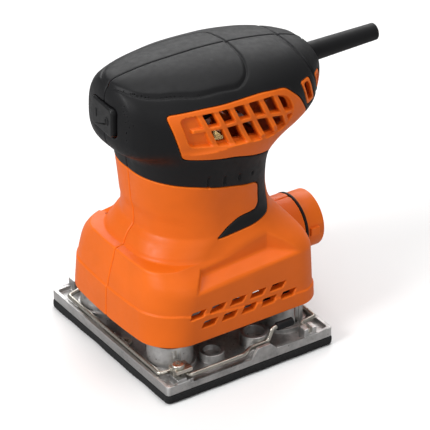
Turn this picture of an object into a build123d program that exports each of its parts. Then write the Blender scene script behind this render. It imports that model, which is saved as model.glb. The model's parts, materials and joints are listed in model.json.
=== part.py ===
from build123d import *

import os
from math import atan2, degrees, hypot

# Quarter-sheet palm sander, in millimetres.
# +X is the front (switch end), +Y the machine's left side, +Z up.
# The origin is the centre of the pad's lower face, so Z = 0 is the work surface.

# ---------------------------------------------------------------- driving sizes
PLATEN_L = 102.0
PLATEN_W = 112.0
PAD_T = 5.0
PLATE_T = 3.0
RIM_T = 2.2
RIM_TOP = 10.2
FLOOR = PAD_T + PLATE_T

# The eccentric pin swings the platen round the motor's axis at this radius
ORBIT = 1.0
MOTOR_X = -ORBIT

WALL = 3.0
GRIP_T = 1.3
SKIRT_Z = 24.0

WIRE_R = 1.15
WIRE_Z = 12.2
BAR_Z = 11.5
PIVOT_X = 37.0
BAR_X = 48.0
PIVOT_FIT = 0.05

POST_X = 34.0
POST_Y = 32.0

PORT_Z = 41.6
PORT_R = 15.5
PORT_BORE = 12.5
PORT_END = -74.0
SEAL_X = -61.5

SLEEVE_Z = 140.0
SLEEVE_R = 5.3
SLEEVE_TIP_R = 4.6
SLEEVE_NECK_X = -74.0
SLEEVE_BORE = 3.5
SLEEVE_END = -114.5
SLEEVE_FOOT = -55.0

SWITCH_Z = 140.5
SWITCH_PIVOT = 43.0
SWITCH_TILT = 4.0

# Running clearance of a shaft in a bearing, and of a screw in its hole
BORE_FIT = 0.03
SCREW_FIT = 0.05

# Longer than any wall that a cutting tool has to pass
BEYOND = 60.0

# Skirt and neck: height, rear x, front x, half width, corner radius
BODY_SECTIONS = [
    (SKIRT_Z, -50.4, 51.5, 47.4, 15.5),
    (42.0, -49.8, 50.8, 47.0, 16.5),
    (53.0, -49.0, 48.6, 46.6, 16.5),
    (58.0, -48.2, 47.1, 44.5, 16.0),
    (62.6, -46.2, 45.8, 41.0, 16.0),
    (63.4, -45.7, 41.4, 40.2, 20.0),
    (70.0, -41.5, 38.0, 37.2, 25.0),
    (77.0, -38.2, 34.8, 35.0, 28.0),
    (88.0, -37.0, 35.9, 34.0, 30.0),
    (106.0, -37.0, 37.5, 36.0, 31.0),
    (118.0, -39.0, 38.5, 37.0, 32.0),
    (127.0, -34.0, 34.0, 33.0, 28.0),
]

# Notch in each shoulder: its wall, a point of its floor, the floor's rise to the rear and inwards,
# and where the wall turns outwards at the front and rear, with its slope there
NOTCH_WALL_Y = 39.0
NOTCH_FLOOR_Y = 46.8
NOTCH_FLOOR_Z = 53.6
NOTCH_RISE_X = 0.075
NOTCH_RISE_Y = 0.62
NOTCH_FRONT = (19.7, 1.12)
NOTCH_REAR = (-20.6, -0.49)
NOTCH_OUT_Y = 56.0
NOTCH_TOP = 80.0

# The head's underside corners are rounded by this share of its lower height
BELLY_ROUND = 0.8

# Head: x, underside z, widest z, top z, half width
HEAD_SECTIONS = [
    (-69.0, 130.0, 140.0, 150.5, 16.0),
    (-57.0, 119.5, 138.0, 155.0, 27.3),
    (-40.0, 115.5, 136.0, 158.9, 35.0),
    (-20.0, 115.0, 135.0, 161.3, 38.2),
    (0.0, 115.0, 134.0, 162.3, 38.5),
    (20.0, 116.0, 134.0, 162.2, 35.0),
    (40.0, 119.0, 135.0, 160.6, 27.5),
    (47.0, 122.0, 136.0, 158.6, 21.0),
    (50.5, 127.0, 138.0, 154.0, 14.0),
]

os.makedirs("parts", exist_ok=True)


def save(piece, name):
    """Label one finished sub-part and write its STEP file."""
    piece.part.label = name
    export_step(piece.part, f"parts/{name}.step")


def facing_front(x, z):
    """A plane across the machine, looking forward, with its origin at x and z."""
    return Plane((x, 0, z), x_dir=(0, 1, 0), z_dir=(1, 0, 0))


def facing_rear(x, z):
    """A plane across the machine, looking rearward, with its origin at x and z."""
    return Plane((x, 0, z), x_dir=(0, 1, 0), z_dir=(-1, 0, 0))


def facing_right(x, y, z):
    """A side-view plane that looks to the machine's right."""
    return Plane((x, y, z), x_dir=(1, 0, 0), z_dir=(0, -1, 0))


def motor_plane(z):
    """A horizontal plane centred on the motor's axis."""
    return Plane((MOTOR_X, 0, z))


# ---------------------------------------------------------------- shell volumes
def shoulder_notch(side, inset):
    """Room of the notch in one shoulder, grown by the inset: a rising floor, cut to an outline in plan."""
    wall = NOTCH_WALL_Y - inset
    drop = inset * hypot(1, NOTCH_RISE_Y)
    floor_in = NOTCH_FLOOR_Z + NOTCH_RISE_Y * (NOTCH_FLOOR_Y - wall) - drop
    floor_out = NOTCH_FLOOR_Z + NOTCH_RISE_Y * (NOTCH_FLOOR_Y - NOTCH_OUT_Y) - drop
    # where the grown wall turns, and where its turned ends reach the outer edge
    (front_x, front_slope), (rear_x, rear_slope) = NOTCH_FRONT, NOTCH_REAR
    reach = NOTCH_OUT_Y - NOTCH_WALL_Y
    front_turn = front_x + inset * (hypot(1, front_slope) - 1) / front_slope
    rear_turn = rear_x + inset * (hypot(1, rear_slope) - 1) / rear_slope
    front_end = front_x + (reach + inset * hypot(1, front_slope)) / front_slope
    rear_end = rear_x + (reach + inset * hypot(1, rear_slope)) / rear_slope
    with BuildPart() as notch:
        with BuildSketch(facing_front(BEYOND, -NOTCH_RISE_X * BEYOND)):
            with BuildLine():
                Polyline(
                    (side * wall, floor_in),
                    (side * NOTCH_OUT_Y, floor_out),
                    (side * NOTCH_OUT_Y, NOTCH_TOP),
                    (side * wall, NOTCH_TOP),
                    close=True,
                )
            make_face()
        extrude(amount=2 * BEYOND, dir=(-1, 0, NOTCH_RISE_X))
        with BuildSketch():
            with BuildLine():
                Polyline(
                    (front_turn, side * wall),
                    (front_end, side * NOTCH_OUT_Y),
                    (rear_end, side * NOTCH_OUT_Y),
                    (rear_turn, side * wall),
                    close=True,
                )
            make_face()
        extrude(amount=NOTCH_TOP, mode=Mode.INTERSECT)
    return notch.part


def shell_volume(inset):
    """Skirt, neck and head as one closed solid, inset from the outer surface."""
    notches = [shoulder_notch(side, inset) for side in (1, -1)]
    with BuildPart() as volume:
        for z, rear, front, half, radius in BODY_SECTIONS:
            drop = inset if z == SKIRT_Z else 0
            with BuildSketch(Plane((rear / 2 + front / 2, 0, z - drop))):
                RectangleRounded(front - rear - 2 * inset, 2 * (half - inset), radius - inset)
        loft(ruled=True)
        for notch in notches:
            add(notch, mode=Mode.SUBTRACT)
        for x, low, wide, high, half in HEAD_SECTIONS:
            trim = inset if x in (HEAD_SECTIONS[0][0], HEAD_SECTIONS[-1][0]) else 0
            with BuildSketch(facing_front(x - trim if x > 0 else x + trim, wide)):
                w = half - inset
                belly = wide - low - inset
                with BuildLine():
                    EllipticalCenterArc((0, 0), w, high - wide - inset, 0, arc_size=180)
                    FilletPolyline(
                        (-w, 0), (-w, -belly), (w, -belly), (w, 0), radius=BELLY_ROUND * min(belly, w)
                    )
                make_face()
        loft()
    return volume.part


outer = shell_volume(0)
under_grip = shell_volume(GRIP_T)
cavity = shell_volume(GRIP_T + WALL)

# Side view of the rubber grip: head cap, neck band and the hooked tail of the band
GRIP_OUTLINE = [
    (60, 107), (17, 105), (0, 101), (-18, 96.8), (-20.5, 94), (-20.5, 84), (-18, 81.4), (-7, 81), (0, 77.5),
    (8, 72), (-20, 75), (-27, 75.5), (-30, 79), (-30, 108), (-27, 112.5), (-2, 119.3), (25.6, 122.8),
    (33, 147.8), (12.8, 148.4), (-20, 148.2), (-34.5, 146.4), (-43.3, 138.5), (-50.5, 127), (-57, 110),
    (-80, 110), (-80, 175), (60, 175),
]

with BuildPart() as grip_prism:
    with BuildSketch(Plane.XZ):
        with BuildLine():
            Polyline(*GRIP_OUTLINE, close=True)
        make_face()
    extrude(amount=BEYOND, both=True)

# ---------------------------------------------------------------- openings in the shells
SWITCH_OPENING = (22.8, 17.2)
SWITCH_OPENING_R = 3.5
OPENING_DEPTH = 20.0
SLEEVE_HOLE_R = SLEEVE_R + 0.3

with BuildPart() as openings:
    with BuildSketch(facing_front(SWITCH_PIVOT - 3, SWITCH_Z)):
        RectangleRounded(*SWITCH_OPENING, SWITCH_OPENING_R)
    extrude(amount=OPENING_DEPTH)
    with BuildSketch(facing_rear(SLEEVE_FOOT - 5, SLEEVE_Z)):
        Circle(SLEEVE_HOLE_R)
    extrude(amount=OPENING_DEPTH)


def leaning_hole(x, z, half_w, half_h, lean):
    """One parallelogram hole in side view; lean is how far it goes forward for each millimetre up."""
    shift = lean * half_h
    Polyline(
        (x - half_w - shift, z - half_h),
        (x + half_w - shift, z - half_h),
        (x + half_w + shift, z + half_h),
        (x - half_w + shift, z + half_h),
        close=True,
    )


def rows_of_holes(rows, count, pitch, half_w, lean):
    """Rows of leaning holes that pass right through both sides."""
    with BuildPart() as holes:
        for row_z, first_x, half_h in rows:
            for column in range(count):
                with BuildSketch(Plane.XZ):
                    with BuildLine():
                        leaning_hole(first_x - column * pitch, row_z, half_w, half_h, lean)
                    make_face()
        extrude(amount=BEYOND, both=True)
    return holes


# Cooling windows: two rows in each cheek of the head (z, first x and half height of each row)
WINDOW_ROWS = [(141.4, 10.4, 2.4), (132.4, 6.7, 3.9)]
WINDOW_COUNT = 6
WINDOW_PITCH = 8.66
WINDOW_HALF_W = 2.75
WINDOW_LEAN = 0.41
head_windows = rows_of_holes(WINDOW_ROWS, WINDOW_COUNT, WINDOW_PITCH, WINDOW_HALF_W, WINDOW_LEAN)

# Dust vents low on each side of the skirt
VENT_ROWS = [(40.5, 26.5, 1.8), (34.0, 20.0, 1.8)]
VENT_COUNT = 5
VENT_PITCH = 12.2
VENT_HALF_W = 3.9
VENT_LEAN = -0.62
vents = rows_of_holes(VENT_ROWS, VENT_COUNT, VENT_PITCH, VENT_HALF_W, VENT_LEAN)

# ---------------------------------------------------------------- motor stack, from the pin up
PIN_Z = 15.0
WEIGHT_Z = 26.0
FAN_Z = 36.0
FAN_TOP = 43.4
LOWER_BEARING_Z = 43.7
LOWER_BEARING_TOP = 51.5
LEDGE_Z = 53.0
SHOULDER_Z = 54.0
STATOR_Z = 80.0
STATOR_TOP = 102.0
COMMUTATOR_Z = 112.0
BRUSH_Z = 117.0
TOP_BEARING_Z = 128.0
TOP_BEARING_TOP = 135.0
SHAFT_TOP = 136.0

SHAFT_R = 5.0
SHAFT_TOP_R = 4.0
STATOR_R = 27.0
ROTOR_R = 16.0
COMMUTATOR_R = 9.5
LOWER_BEARING_R = 14.0
TOP_BEARING_R = 9.5
CAP_R = 11.5
BEARING_PLATE_R = 33.5
PLATE_SCREW_R = 1.65
PLATE_SCREW_CIRCLE = 31.0
PLATE_SCREW_COUNT = 4
PLATE_SCREW_START = 45.0

# ---------------------------------------------------------------- inner frame of the housing
POST_R = 8.0
POST_TOP = 40.5
SOCKET_R = 12.0
SOCKET_Z = 34.0
SOCKET_BORE = POST_R + ORBIT + 0.3
SOCKET_ROOF = POST_TOP + 0.5
CORNERS = [(POST_X, POST_Y), (POST_X, -POST_Y), (-POST_X, POST_Y), (-POST_X, -POST_Y)]

LEDGE_T = 3.0
LEDGE_BORE = 28.0
RING_T = 4.0
SEAT_WALL = 3.5
SEAT_H = 9.0
SEAT_RIB_W = 8.0
HOLDER = (8.4, 15.0, 10.4)
HOLDER_Y = 19.5
HOLDER_BLOCK = (14.0, 16.0, 16.0)
HOLDER_BLOCK_Y = 31.0
HOLDER_POCKET_L = 54.0

COLLAR_R = 16.6
COLLAR_BORE = 13.2
COLLAR_IN = -44.0
# Flange that holds the dust outlet in the collar, and the groove that it turns in
FLANGE_X = -50.5
FLANGE_T = 1.5
FLANGE_R = COLLAR_BORE + 1.8
GROOVE_R = COLLAR_BORE + 2.2
GROOVE_PLAY = 0.3

SLEEVE_FLANGE_X = -65.5
SLEEVE_FLANGE_T = 3.0
SLEEVE_FLANGE_R = 7.6

# x and z of the screws that join the halves across the middle plane
HOUSING_SCREWS = [(28, 62), (-32, 62), (31, 113), (-33, 113), (14, 152), (-34, 150)]
SCREW_R = 1.7
SCREW_HEAD_R = 3.5
SCREW_HEAD_H = 2.4
SCREW_HEAD_Y = -14.0
SCREW_TIP_Y = 14.0
BOSS_R = 5.6

# Cord clamp: a bar across the cord, held by two screws into bosses of the left half
CLAMP_X = -50.5
CLAMP_SCREW_Z = (132.5, 147.5)
CLAMP_SCREW_R = 1.4
CLAMP_BOSS_R = 3.4

# Shelf under the suppression capacitor
CAPACITOR = (12.0, 14.0, 8.0)
CAPACITOR_X = -38.0
SHELF_Z = 124.0
SHELF_T = 2.0

with BuildPart() as frame_ribs:
    # ledge above the fan chamber
    with BuildSketch(motor_plane(LEDGE_Z)):
        Rectangle(2 * BEYOND, 2 * BEYOND)
        Circle(LEDGE_BORE, mode=Mode.SUBTRACT)
    extrude(amount=LEDGE_T)
    # two rings that hold the stator
    for z in (STATOR_Z + 2, STATOR_TOP - 2 - RING_T):
        with BuildSketch(motor_plane(z)):
            Rectangle(2 * BEYOND, 2 * BEYOND)
            Circle(STATOR_R, mode=Mode.SUBTRACT)
        extrude(amount=RING_T)
    # seat of the top bearing, carried by a cross rib
    with BuildSketch(motor_plane(TOP_BEARING_Z)):
        Circle(CAP_R + SEAT_WALL)
        Rectangle(SEAT_RIB_W, 2 * BEYOND)
        Circle(CAP_R, mode=Mode.SUBTRACT)
    extrude(amount=SEAT_H)
    # blocks round the brush holders
    with Locations((MOTOR_X, HOLDER_BLOCK_Y, BRUSH_Z), (MOTOR_X, -HOLDER_BLOCK_Y, BRUSH_Z)):
        Box(*HOLDER_BLOCK)
    with Locations((MOTOR_X, 0, BRUSH_Z)):
        Box(HOLDER[0], HOLDER_POCKET_L, HOLDER[2], mode=Mode.SUBTRACT)
    # sockets of the four rubber posts, centred on the orbit
    for x, y in CORNERS:
        with BuildSketch(Plane((x + MOTOR_X, y, SOCKET_Z))):
            Circle(SOCKET_R)
        extrude(amount=LEDGE_Z - SOCKET_Z)
    # bosses of the housing screws
    for x, z in HOUSING_SCREWS:
        with BuildSketch(facing_right(x, 0, z)):
            Circle(BOSS_R)
        extrude(amount=BEYOND, both=True)
    # bosses of the cord clamp, in the left half
    for z in CLAMP_SCREW_Z:
        with BuildSketch(facing_right(CLAMP_X, 0, z)):
            Circle(CLAMP_BOSS_R)
        extrude(amount=-BEYOND)
    # shelf of the capacitor
    with Locations((CAPACITOR_X, 0, SHELF_Z)):
        Box(CAPACITOR[0] + 4, 2 * BEYOND, SHELF_T, align=(Align.CENTER, Align.CENTER, Align.MIN))

with BuildPart() as frame_cuts:
    for x, y in CORNERS:
        with BuildSketch(Plane((x + MOTOR_X, y, SOCKET_Z - 1))):
            Circle(SOCKET_BORE)
        extrude(amount=SOCKET_ROOF - SOCKET_Z + 1)
    for x, z in HOUSING_SCREWS:
        with BuildSketch(facing_right(x, 0, z)):
            Circle(SCREW_R)
        extrude(amount=SCREW_TIP_Y + 2, both=True)
        with BuildSketch(facing_right(x, SCREW_HEAD_Y, z)):
            Circle(SCREW_HEAD_R + 0.3)
        extrude(amount=BEYOND)
    for z in CLAMP_SCREW_Z:
        with BuildSketch(facing_right(CLAMP_X, 0, z)):
            Circle(CLAMP_SCREW_R)
        extrude(amount=-12)
    with BuildSketch(motor_plane(LEDGE_Z)):
        with PolarLocations(PLATE_SCREW_CIRCLE, PLATE_SCREW_COUNT, start_angle=PLATE_SCREW_START):
            Circle(PLATE_SCREW_R + SCREW_FIT)
    extrude(amount=LEDGE_T)

with BuildPart() as collar:
    with BuildSketch(facing_rear(COLLAR_IN, PORT_Z)):
        Circle(COLLAR_R)
    extrude(amount=COLLAR_IN - SEAL_X)

with BuildPart() as collar_bore:
    with BuildSketch(facing_rear(COLLAR_IN + 4, PORT_Z)):
        Circle(COLLAR_BORE)
    extrude(amount=BEYOND / 2)
    with BuildSketch(facing_rear(FLANGE_X + FLANGE_T + GROOVE_PLAY, PORT_Z)):
        Circle(GROOVE_R)
    extrude(amount=FLANGE_T + 2 * GROOVE_PLAY)

with BuildPart() as sleeve_flange_room:
    with BuildSketch(facing_front(SLEEVE_FLANGE_X - 0.5, SLEEVE_Z)):
        Circle(SLEEVE_FLANGE_R + 0.4)
    extrude(amount=SLEEVE_FLANGE_T + 1)

with BuildPart() as housing:
    add(outer)
    add(grip_prism.part, mode=Mode.SUBTRACT)
    add(under_grip)
    add(collar.part)
    add(cavity, mode=Mode.SUBTRACT)
    add(frame_ribs.part & under_grip)
    for cut in (frame_cuts, collar_bore, sleeve_flange_room, openings, head_windows, vents):
        add(cut.part, mode=Mode.SUBTRACT)


def half_of(whole, side):
    """The left (side +1) or right (side -1) half of a piece moulded in two."""
    with BuildPart() as half:
        add(whole)
        split(bisect_by=Plane.XZ, keep=Keep.BOTTOM if side > 0 else Keep.TOP)
    return half


left_housing = half_of(housing.part, 1)
save(left_housing, "left_housing")
right_housing = half_of(housing.part, -1)
save(right_housing, "right_housing")

# ---------------------------------------------------------------- rubber grips
with BuildPart() as grips:
    add(outer)
    add(grip_prism.part, mode=Mode.INTERSECT)
    for cut in (under_grip, cavity):
        add(cut, mode=Mode.SUBTRACT)
    for cut in (openings, frame_cuts):
        add(cut.part, mode=Mode.SUBTRACT)

left_grip = half_of(grips.part, 1)
save(left_grip, "left_grip")
right_grip = half_of(grips.part, -1)
save(right_grip, "right_grip")

# ---------------------------------------------------------------- platen and pad
PLATEN_CORNER = 2.0
CUP_R = 12.0
CUP_TOP = 22.5
CUP_FOOT = (CUP_R + 1.6, 2.4)
POST_SINK = 1.0
HUB_R = 19.0
HUB_TOP = 25.0
ORBIT_BEARING_R = 13.0
ORBIT_BEARING_Z = 15.5
ORBIT_BEARING_TOP = 24.0
BEARING_LEDGE = 2.5
WEB_T = 3.2
WEB_H = 10.0
SLOT_HALF = WIRE_R + PIVOT_FIT

# The side rims are lowered over this length where the clamp levers swing down
RIM_LOW = 8.6
LOW_RIM_X = 17.0
LOW_RIM_L = 40.0

# Bosses beside the hub: x, radius, height
BOSS_Y = 42.0
FLOOR_BOSSES = ((15.0, 6.5, 5.0), (-11.0, 7.5, 7.0))
BOSS_WALL = 2.2

# Latch wedge on the side rim: x at the foot and at the top, rear end first
LATCH_FOOT = (-18.0, 0.0)
LATCH_HEAD = (-12.0, -4.5)
LATCH_TOP = 14.0
LATCH_Y = 54.2
LATCH_T = PLATEN_W / 2 - LATCH_Y

KEEPER_X = 39.8
KEEPER_Y = 50.8
KEEPER_SCREW_X = KEEPER_X + 1.5
KEEPER_SCREW_R = 1.45
KEEPER_TOP = 17.0
BEARING_W = 3.5
BEARING_Y = 50.05
BLOCK = (9.6, 7.2)
BLOCK_Y = 51.9
BEND_ROOM = (8.0, 6.0, 6.0)
BEND_Y = 54.9
NOTCH_POST = (7.5, 5.4, 6.4)
NOTCH_POST_Y = 53.2

PLATEN_SCREWS = ((44, 6), (-44, -6))
PLATEN_SCREW_R = 1.8

UPRIGHT = (Align.CENTER, Align.CENTER, Align.MIN)

with BuildPart() as platen:
    with BuildSketch(Plane.XY.offset(PAD_T)):
        RectangleRounded(PLATEN_L, PLATEN_W, PLATEN_CORNER)
    extrude(amount=RIM_TOP - PAD_T)
    with BuildSketch(Plane.XY.offset(FLOOR)):
        RectangleRounded(PLATEN_L - 2 * RIM_T, PLATEN_W - 2 * RIM_T, PLATEN_CORNER - 0.5)
    extrude(amount=RIM_TOP - FLOOR, mode=Mode.SUBTRACT)
    for side in (1, -1):
        with Locations((side * LOW_RIM_X, side * (PLATEN_W / 2 - RIM_T), RIM_LOW)):
            Box(LOW_RIM_L, 6, 3, align=UPRIGHT, mode=Mode.SUBTRACT)
    # corner cups for the rubber posts, each on a wide foot
    for x, y in CORNERS:
        for radius, height in (CUP_FOOT, (CUP_R, CUP_TOP - FLOOR)):
            with BuildSketch(Plane((x, y, FLOOR))):
                Circle(radius)
            extrude(amount=height)
        with BuildSketch(Plane((x, y, FLOOR + POST_SINK))):
            Circle(POST_R)
        extrude(amount=CUP_TOP, mode=Mode.SUBTRACT)
    # hub of the orbit bearing, with webs out to the cups
    with BuildSketch(Plane.XY.offset(FLOOR)):
        Circle(HUB_R)
    extrude(amount=HUB_TOP - FLOOR)
    for x, y in CORNERS:
        with BuildSketch(Plane.XY.offset(FLOOR)):
            with Locations((x * 0.55, y * 0.55)):
                Rectangle(hypot(x, y) * 0.4, WEB_T, rotation=degrees(atan2(y, x)))
        extrude(amount=WEB_H)
    with BuildSketch(Plane.XY.offset(ORBIT_BEARING_Z)):
        Circle(ORBIT_BEARING_R)
    extrude(amount=HUB_TOP, mode=Mode.SUBTRACT)
    with BuildSketch(Plane.XY.offset(FLOOR)):
        Circle(ORBIT_BEARING_R - BEARING_LEDGE)
    extrude(amount=HUB_TOP, mode=Mode.SUBTRACT)
    for side in (1, -1):
        for x, radius, height in FLOOR_BOSSES:
            with BuildSketch(Plane((side * x, side * BOSS_Y, FLOOR))):
                Circle(radius)
            extrude(amount=height)
            with BuildSketch(Plane((side * x, side * BOSS_Y, FLOOR + 2))):
                Circle(radius - BOSS_WALL)
            extrude(amount=height, mode=Mode.SUBTRACT)
        with BuildSketch(facing_right(0, side * LATCH_Y, 0)):
            with BuildLine():
                Polyline(
                    (side * LATCH_FOOT[0], FLOOR),
                    (side * LATCH_HEAD[0], LATCH_TOP),
                    (side * LATCH_HEAD[1], LATCH_TOP),
                    (side * LATCH_FOOT[1], FLOOR),
                    close=True,
                )
            make_face()
        extrude(amount=-side * LATCH_T)
        # bearing block under the keeper
        with Locations((side * KEEPER_X, side * BLOCK_Y, FLOOR)):
            Box(*BLOCK, WIRE_Z - FLOOR, align=UPRIGHT)
        # notched post that the free end of the clamp wire drops into
        with Locations((side * PIVOT_X, side * -NOTCH_POST_Y, FLOOR)):
            Box(*NOTCH_POST, align=UPRIGHT)
        with Locations((side * PIVOT_X, side * -NOTCH_POST_Y, WIRE_Z)):
            Box(2 * SLOT_HALF, 20, 10, align=UPRIGHT, mode=Mode.SUBTRACT)
            Cylinder(SLOT_HALF, 20, rotation=(90, 0, 0), mode=Mode.SUBTRACT)
        # half-round seat of the wire, and room for its bend beside the bearing
        with Locations((side * PIVOT_X, side * KEEPER_Y, WIRE_Z)):
            Cylinder(SLOT_HALF, 20, rotation=(90, 0, 0), mode=Mode.SUBTRACT)
        with Locations((side * (PIVOT_X - 2), side * BEND_Y, WIRE_Z - 1.6)):
            Box(*BEND_ROOM, align=UPRIGHT, mode=Mode.SUBTRACT)
        with Locations((side * KEEPER_SCREW_X, side * KEEPER_Y, FLOOR + 1)):
            Cylinder(KEEPER_SCREW_R + SCREW_FIT, 20, align=UPRIGHT, mode=Mode.SUBTRACT)
    for x, y in PLATEN_SCREWS:
        with BuildSketch(Plane((x, y, PAD_T))):
            Circle(PLATEN_SCREW_R)
        extrude(amount=PLATE_T, mode=Mode.SUBTRACT)
save(platen, "platen")

PAD_CORNER = 2.5
PAD_EDGE = 0.7
with BuildPart() as foam_pad:
    with BuildSketch():
        RectangleRounded(PLATEN_L, PLATEN_W, PAD_CORNER)
    extrude(amount=PAD_T)
    fillet(foam_pad.edges().group_by(Axis.Z)[0], PAD_EDGE)
save(foam_pad, "foam_pad")

DRIVE_W = 0.8
DRIVE_L = 3.5


def cross_drive(x, y, z):
    """Cut the crossed slots of a screw's drive into its head, centred at a point of its top."""
    with Locations((x, y, z)):
        Box(DRIVE_L, DRIVE_W, 2, mode=Mode.SUBTRACT)
        Box(DRIVE_W, DRIVE_L, 2, mode=Mode.SUBTRACT)


PLATEN_SCREW_HEAD = (3.4, 1.4)
with BuildPart() as platen_screws:
    for x, y in PLATEN_SCREWS:
        with BuildSketch(Plane((x, y, PAD_T + 0.2))):
            Circle(PLATEN_SCREW_R - SCREW_FIT)
        extrude(amount=PLATE_T)
        with BuildSketch(Plane((x, y, FLOOR))):
            Circle(PLATEN_SCREW_HEAD[0])
        extrude(amount=PLATEN_SCREW_HEAD[1])
        cross_drive(x, y, FLOOR + PLATEN_SCREW_HEAD[1])
save(platen_screws, "platen_screws")

# ---------------------------------------------------------------- rubber posts
POST_NAMES = ["front_left", "front_right", "rear_left", "rear_right"]
WAIST_Z = CUP_TOP + 3
WAIST_H = 6.0
WAIST_CUT = 1.5
for name, (x, y) in zip(POST_NAMES, CORNERS):
    with BuildPart() as post:
        with BuildSketch(Plane((x, y, FLOOR + POST_SINK))):
            Circle(POST_R)
        extrude(amount=POST_TOP - FLOOR - POST_SINK)
        with BuildSketch(Plane((x, y, WAIST_Z))):
            Circle(POST_R)
            Circle(POST_R - WAIST_CUT, mode=Mode.SUBTRACT)
        extrude(amount=WAIST_H, mode=Mode.SUBTRACT)
        fillet(post.faces().sort_by(Axis.Z)[-1].edges(), 1)
    save(post, f"rubber_post_{name}")

# ---------------------------------------------------------------- paper clamps
HANDLE_R = 2.2
HANDLE_Z = 18.6
HANDLE_Y = 50.0
HANDLE_ENDS = (-19.5, -29.5)
HANDLE_EDGE = 0.6
HANDLE_CAP = 1.0
BAR_HALF = 44.0
CRANK_Y = 46.2
ARM_Y = 54.3

# Front clamp wire, from the lever's end along the side, through the keeper and round the front bar
CLAMP_PATH = [
    (HANDLE_ENDS[1] + HANDLE_CAP, HANDLE_Y, HANDLE_Z),
    (-17, HANDLE_Y, HANDLE_Z),
    (-14, HANDLE_Y + 0.6, WIRE_Z),
    (-3, 50.9, WIRE_Z),
    (4, ARM_Y, WIRE_Z),
    (PIVOT_X, ARM_Y, WIRE_Z),
    (PIVOT_X, CRANK_Y, WIRE_Z),
    (BAR_X, BAR_HALF, BAR_Z),
    (BAR_X, -BAR_HALF, BAR_Z),
    (PIVOT_X, -CRANK_Y, WIRE_Z),
    (PIVOT_X, -54.5, WIRE_Z),
]
CLAMP_RADII = [2.2, 2.4, 3.0, 3.0, 2.4, 2.4, 2.0, 2.0, 2.4]
CLAMPS = {"front": 1, "rear": -1}

KEEPER_FOOT = (9.6, BEARING_W, 3.0)
KEEPER_LID = (9.6, 8.0, 2.0)

for name, side in CLAMPS.items():
    # the rear clamp is the front one turned half a turn about Z
    path = [(side * x, side * y, z) for x, y, z in CLAMP_PATH]
    with BuildPart() as wire:
        with BuildLine() as route:
            FilletPolyline(*path, radius=CLAMP_RADII)
        with BuildSketch(Plane(path[0], z_dir=route.line % 0)):
            Circle(WIRE_R)
        sweep()
    save(wire, f"{name}_clamp_wire")

    handle_plane = Plane((side * HANDLE_ENDS[0], side * HANDLE_Y, HANDLE_Z), z_dir=(-side, 0, 0))
    with BuildPart() as handle:
        with BuildSketch(handle_plane):
            Circle(HANDLE_R)
        extrude(amount=HANDLE_ENDS[0] - HANDLE_ENDS[1])
        fillet(handle.edges(), HANDLE_EDGE)
        with BuildSketch(handle_plane):
            Circle(WIRE_R)
        extrude(amount=HANDLE_ENDS[0] - HANDLE_ENDS[1] - HANDLE_CAP, mode=Mode.SUBTRACT)
    save(handle, f"{name}_clamp_handle")

    with BuildPart() as keeper:
        with Locations((side * KEEPER_X, side * BEARING_Y, WIRE_Z)):
            Box(*KEEPER_FOOT, align=UPRIGHT)
        with Locations((side * KEEPER_X, side * KEEPER_Y, KEEPER_TOP - KEEPER_LID[2])):
            Box(*KEEPER_LID, align=UPRIGHT)
        with Locations((side * PIVOT_X, side * KEEPER_Y, WIRE_Z)):
            Cylinder(SLOT_HALF, 20, rotation=(90, 0, 0), mode=Mode.SUBTRACT)
        with Locations((side * KEEPER_SCREW_X, side * KEEPER_Y, WIRE_Z)):
            Cylinder(KEEPER_SCREW_R + SCREW_FIT, 20, mode=Mode.SUBTRACT)
    save(keeper, f"{name}_clamp_keeper")

KEEPER_HEAD = (3.4, 2.0)
KEEPER_HEAD_EDGE = 0.9
with BuildPart() as keeper_screws:
    for side in CLAMPS.values():
        x, y = side * KEEPER_SCREW_X, side * KEEPER_Y
        with BuildSketch(Plane((x, y, FLOOR + 2))):
            Circle(KEEPER_SCREW_R)
        extrude(amount=KEEPER_TOP - FLOOR - 2)
        with BuildSketch(Plane((x, y, KEEPER_TOP))):
            Circle(KEEPER_HEAD[0])
        extrude(amount=KEEPER_HEAD[1])
        fillet(keeper_screws.edges().filter_by(GeomType.CIRCLE).group_by(Axis.Z)[-1], KEEPER_HEAD_EDGE)
        cross_drive(x, y, KEEPER_TOP + KEEPER_HEAD[1] + 0.2)
save(keeper_screws, "keeper_screws")

# ---------------------------------------------------------------- orbit bearing and rotor
SHIELD_DEPTH = 0.5


def ball_bearing(plane, height, radius, bore):
    """One ball bearing as a ring, with its shield set back on the upper face."""
    with BuildPart() as ring:
        with BuildSketch(plane):
            Circle(radius)
            Circle(bore + BORE_FIT, mode=Mode.SUBTRACT)
        extrude(amount=height)
        with BuildSketch(plane.offset(height - SHIELD_DEPTH)):
            Circle(radius - 2)
            Circle(bore + 1.5, mode=Mode.SUBTRACT)
        extrude(amount=SHIELD_DEPTH, mode=Mode.SUBTRACT)
    return ring


orbit_bearing = ball_bearing(
    Plane.XY.offset(ORBIT_BEARING_Z), ORBIT_BEARING_TOP - ORBIT_BEARING_Z, ORBIT_BEARING_R, SHAFT_R
)
save(orbit_bearing, "orbit_bearing")

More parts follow.
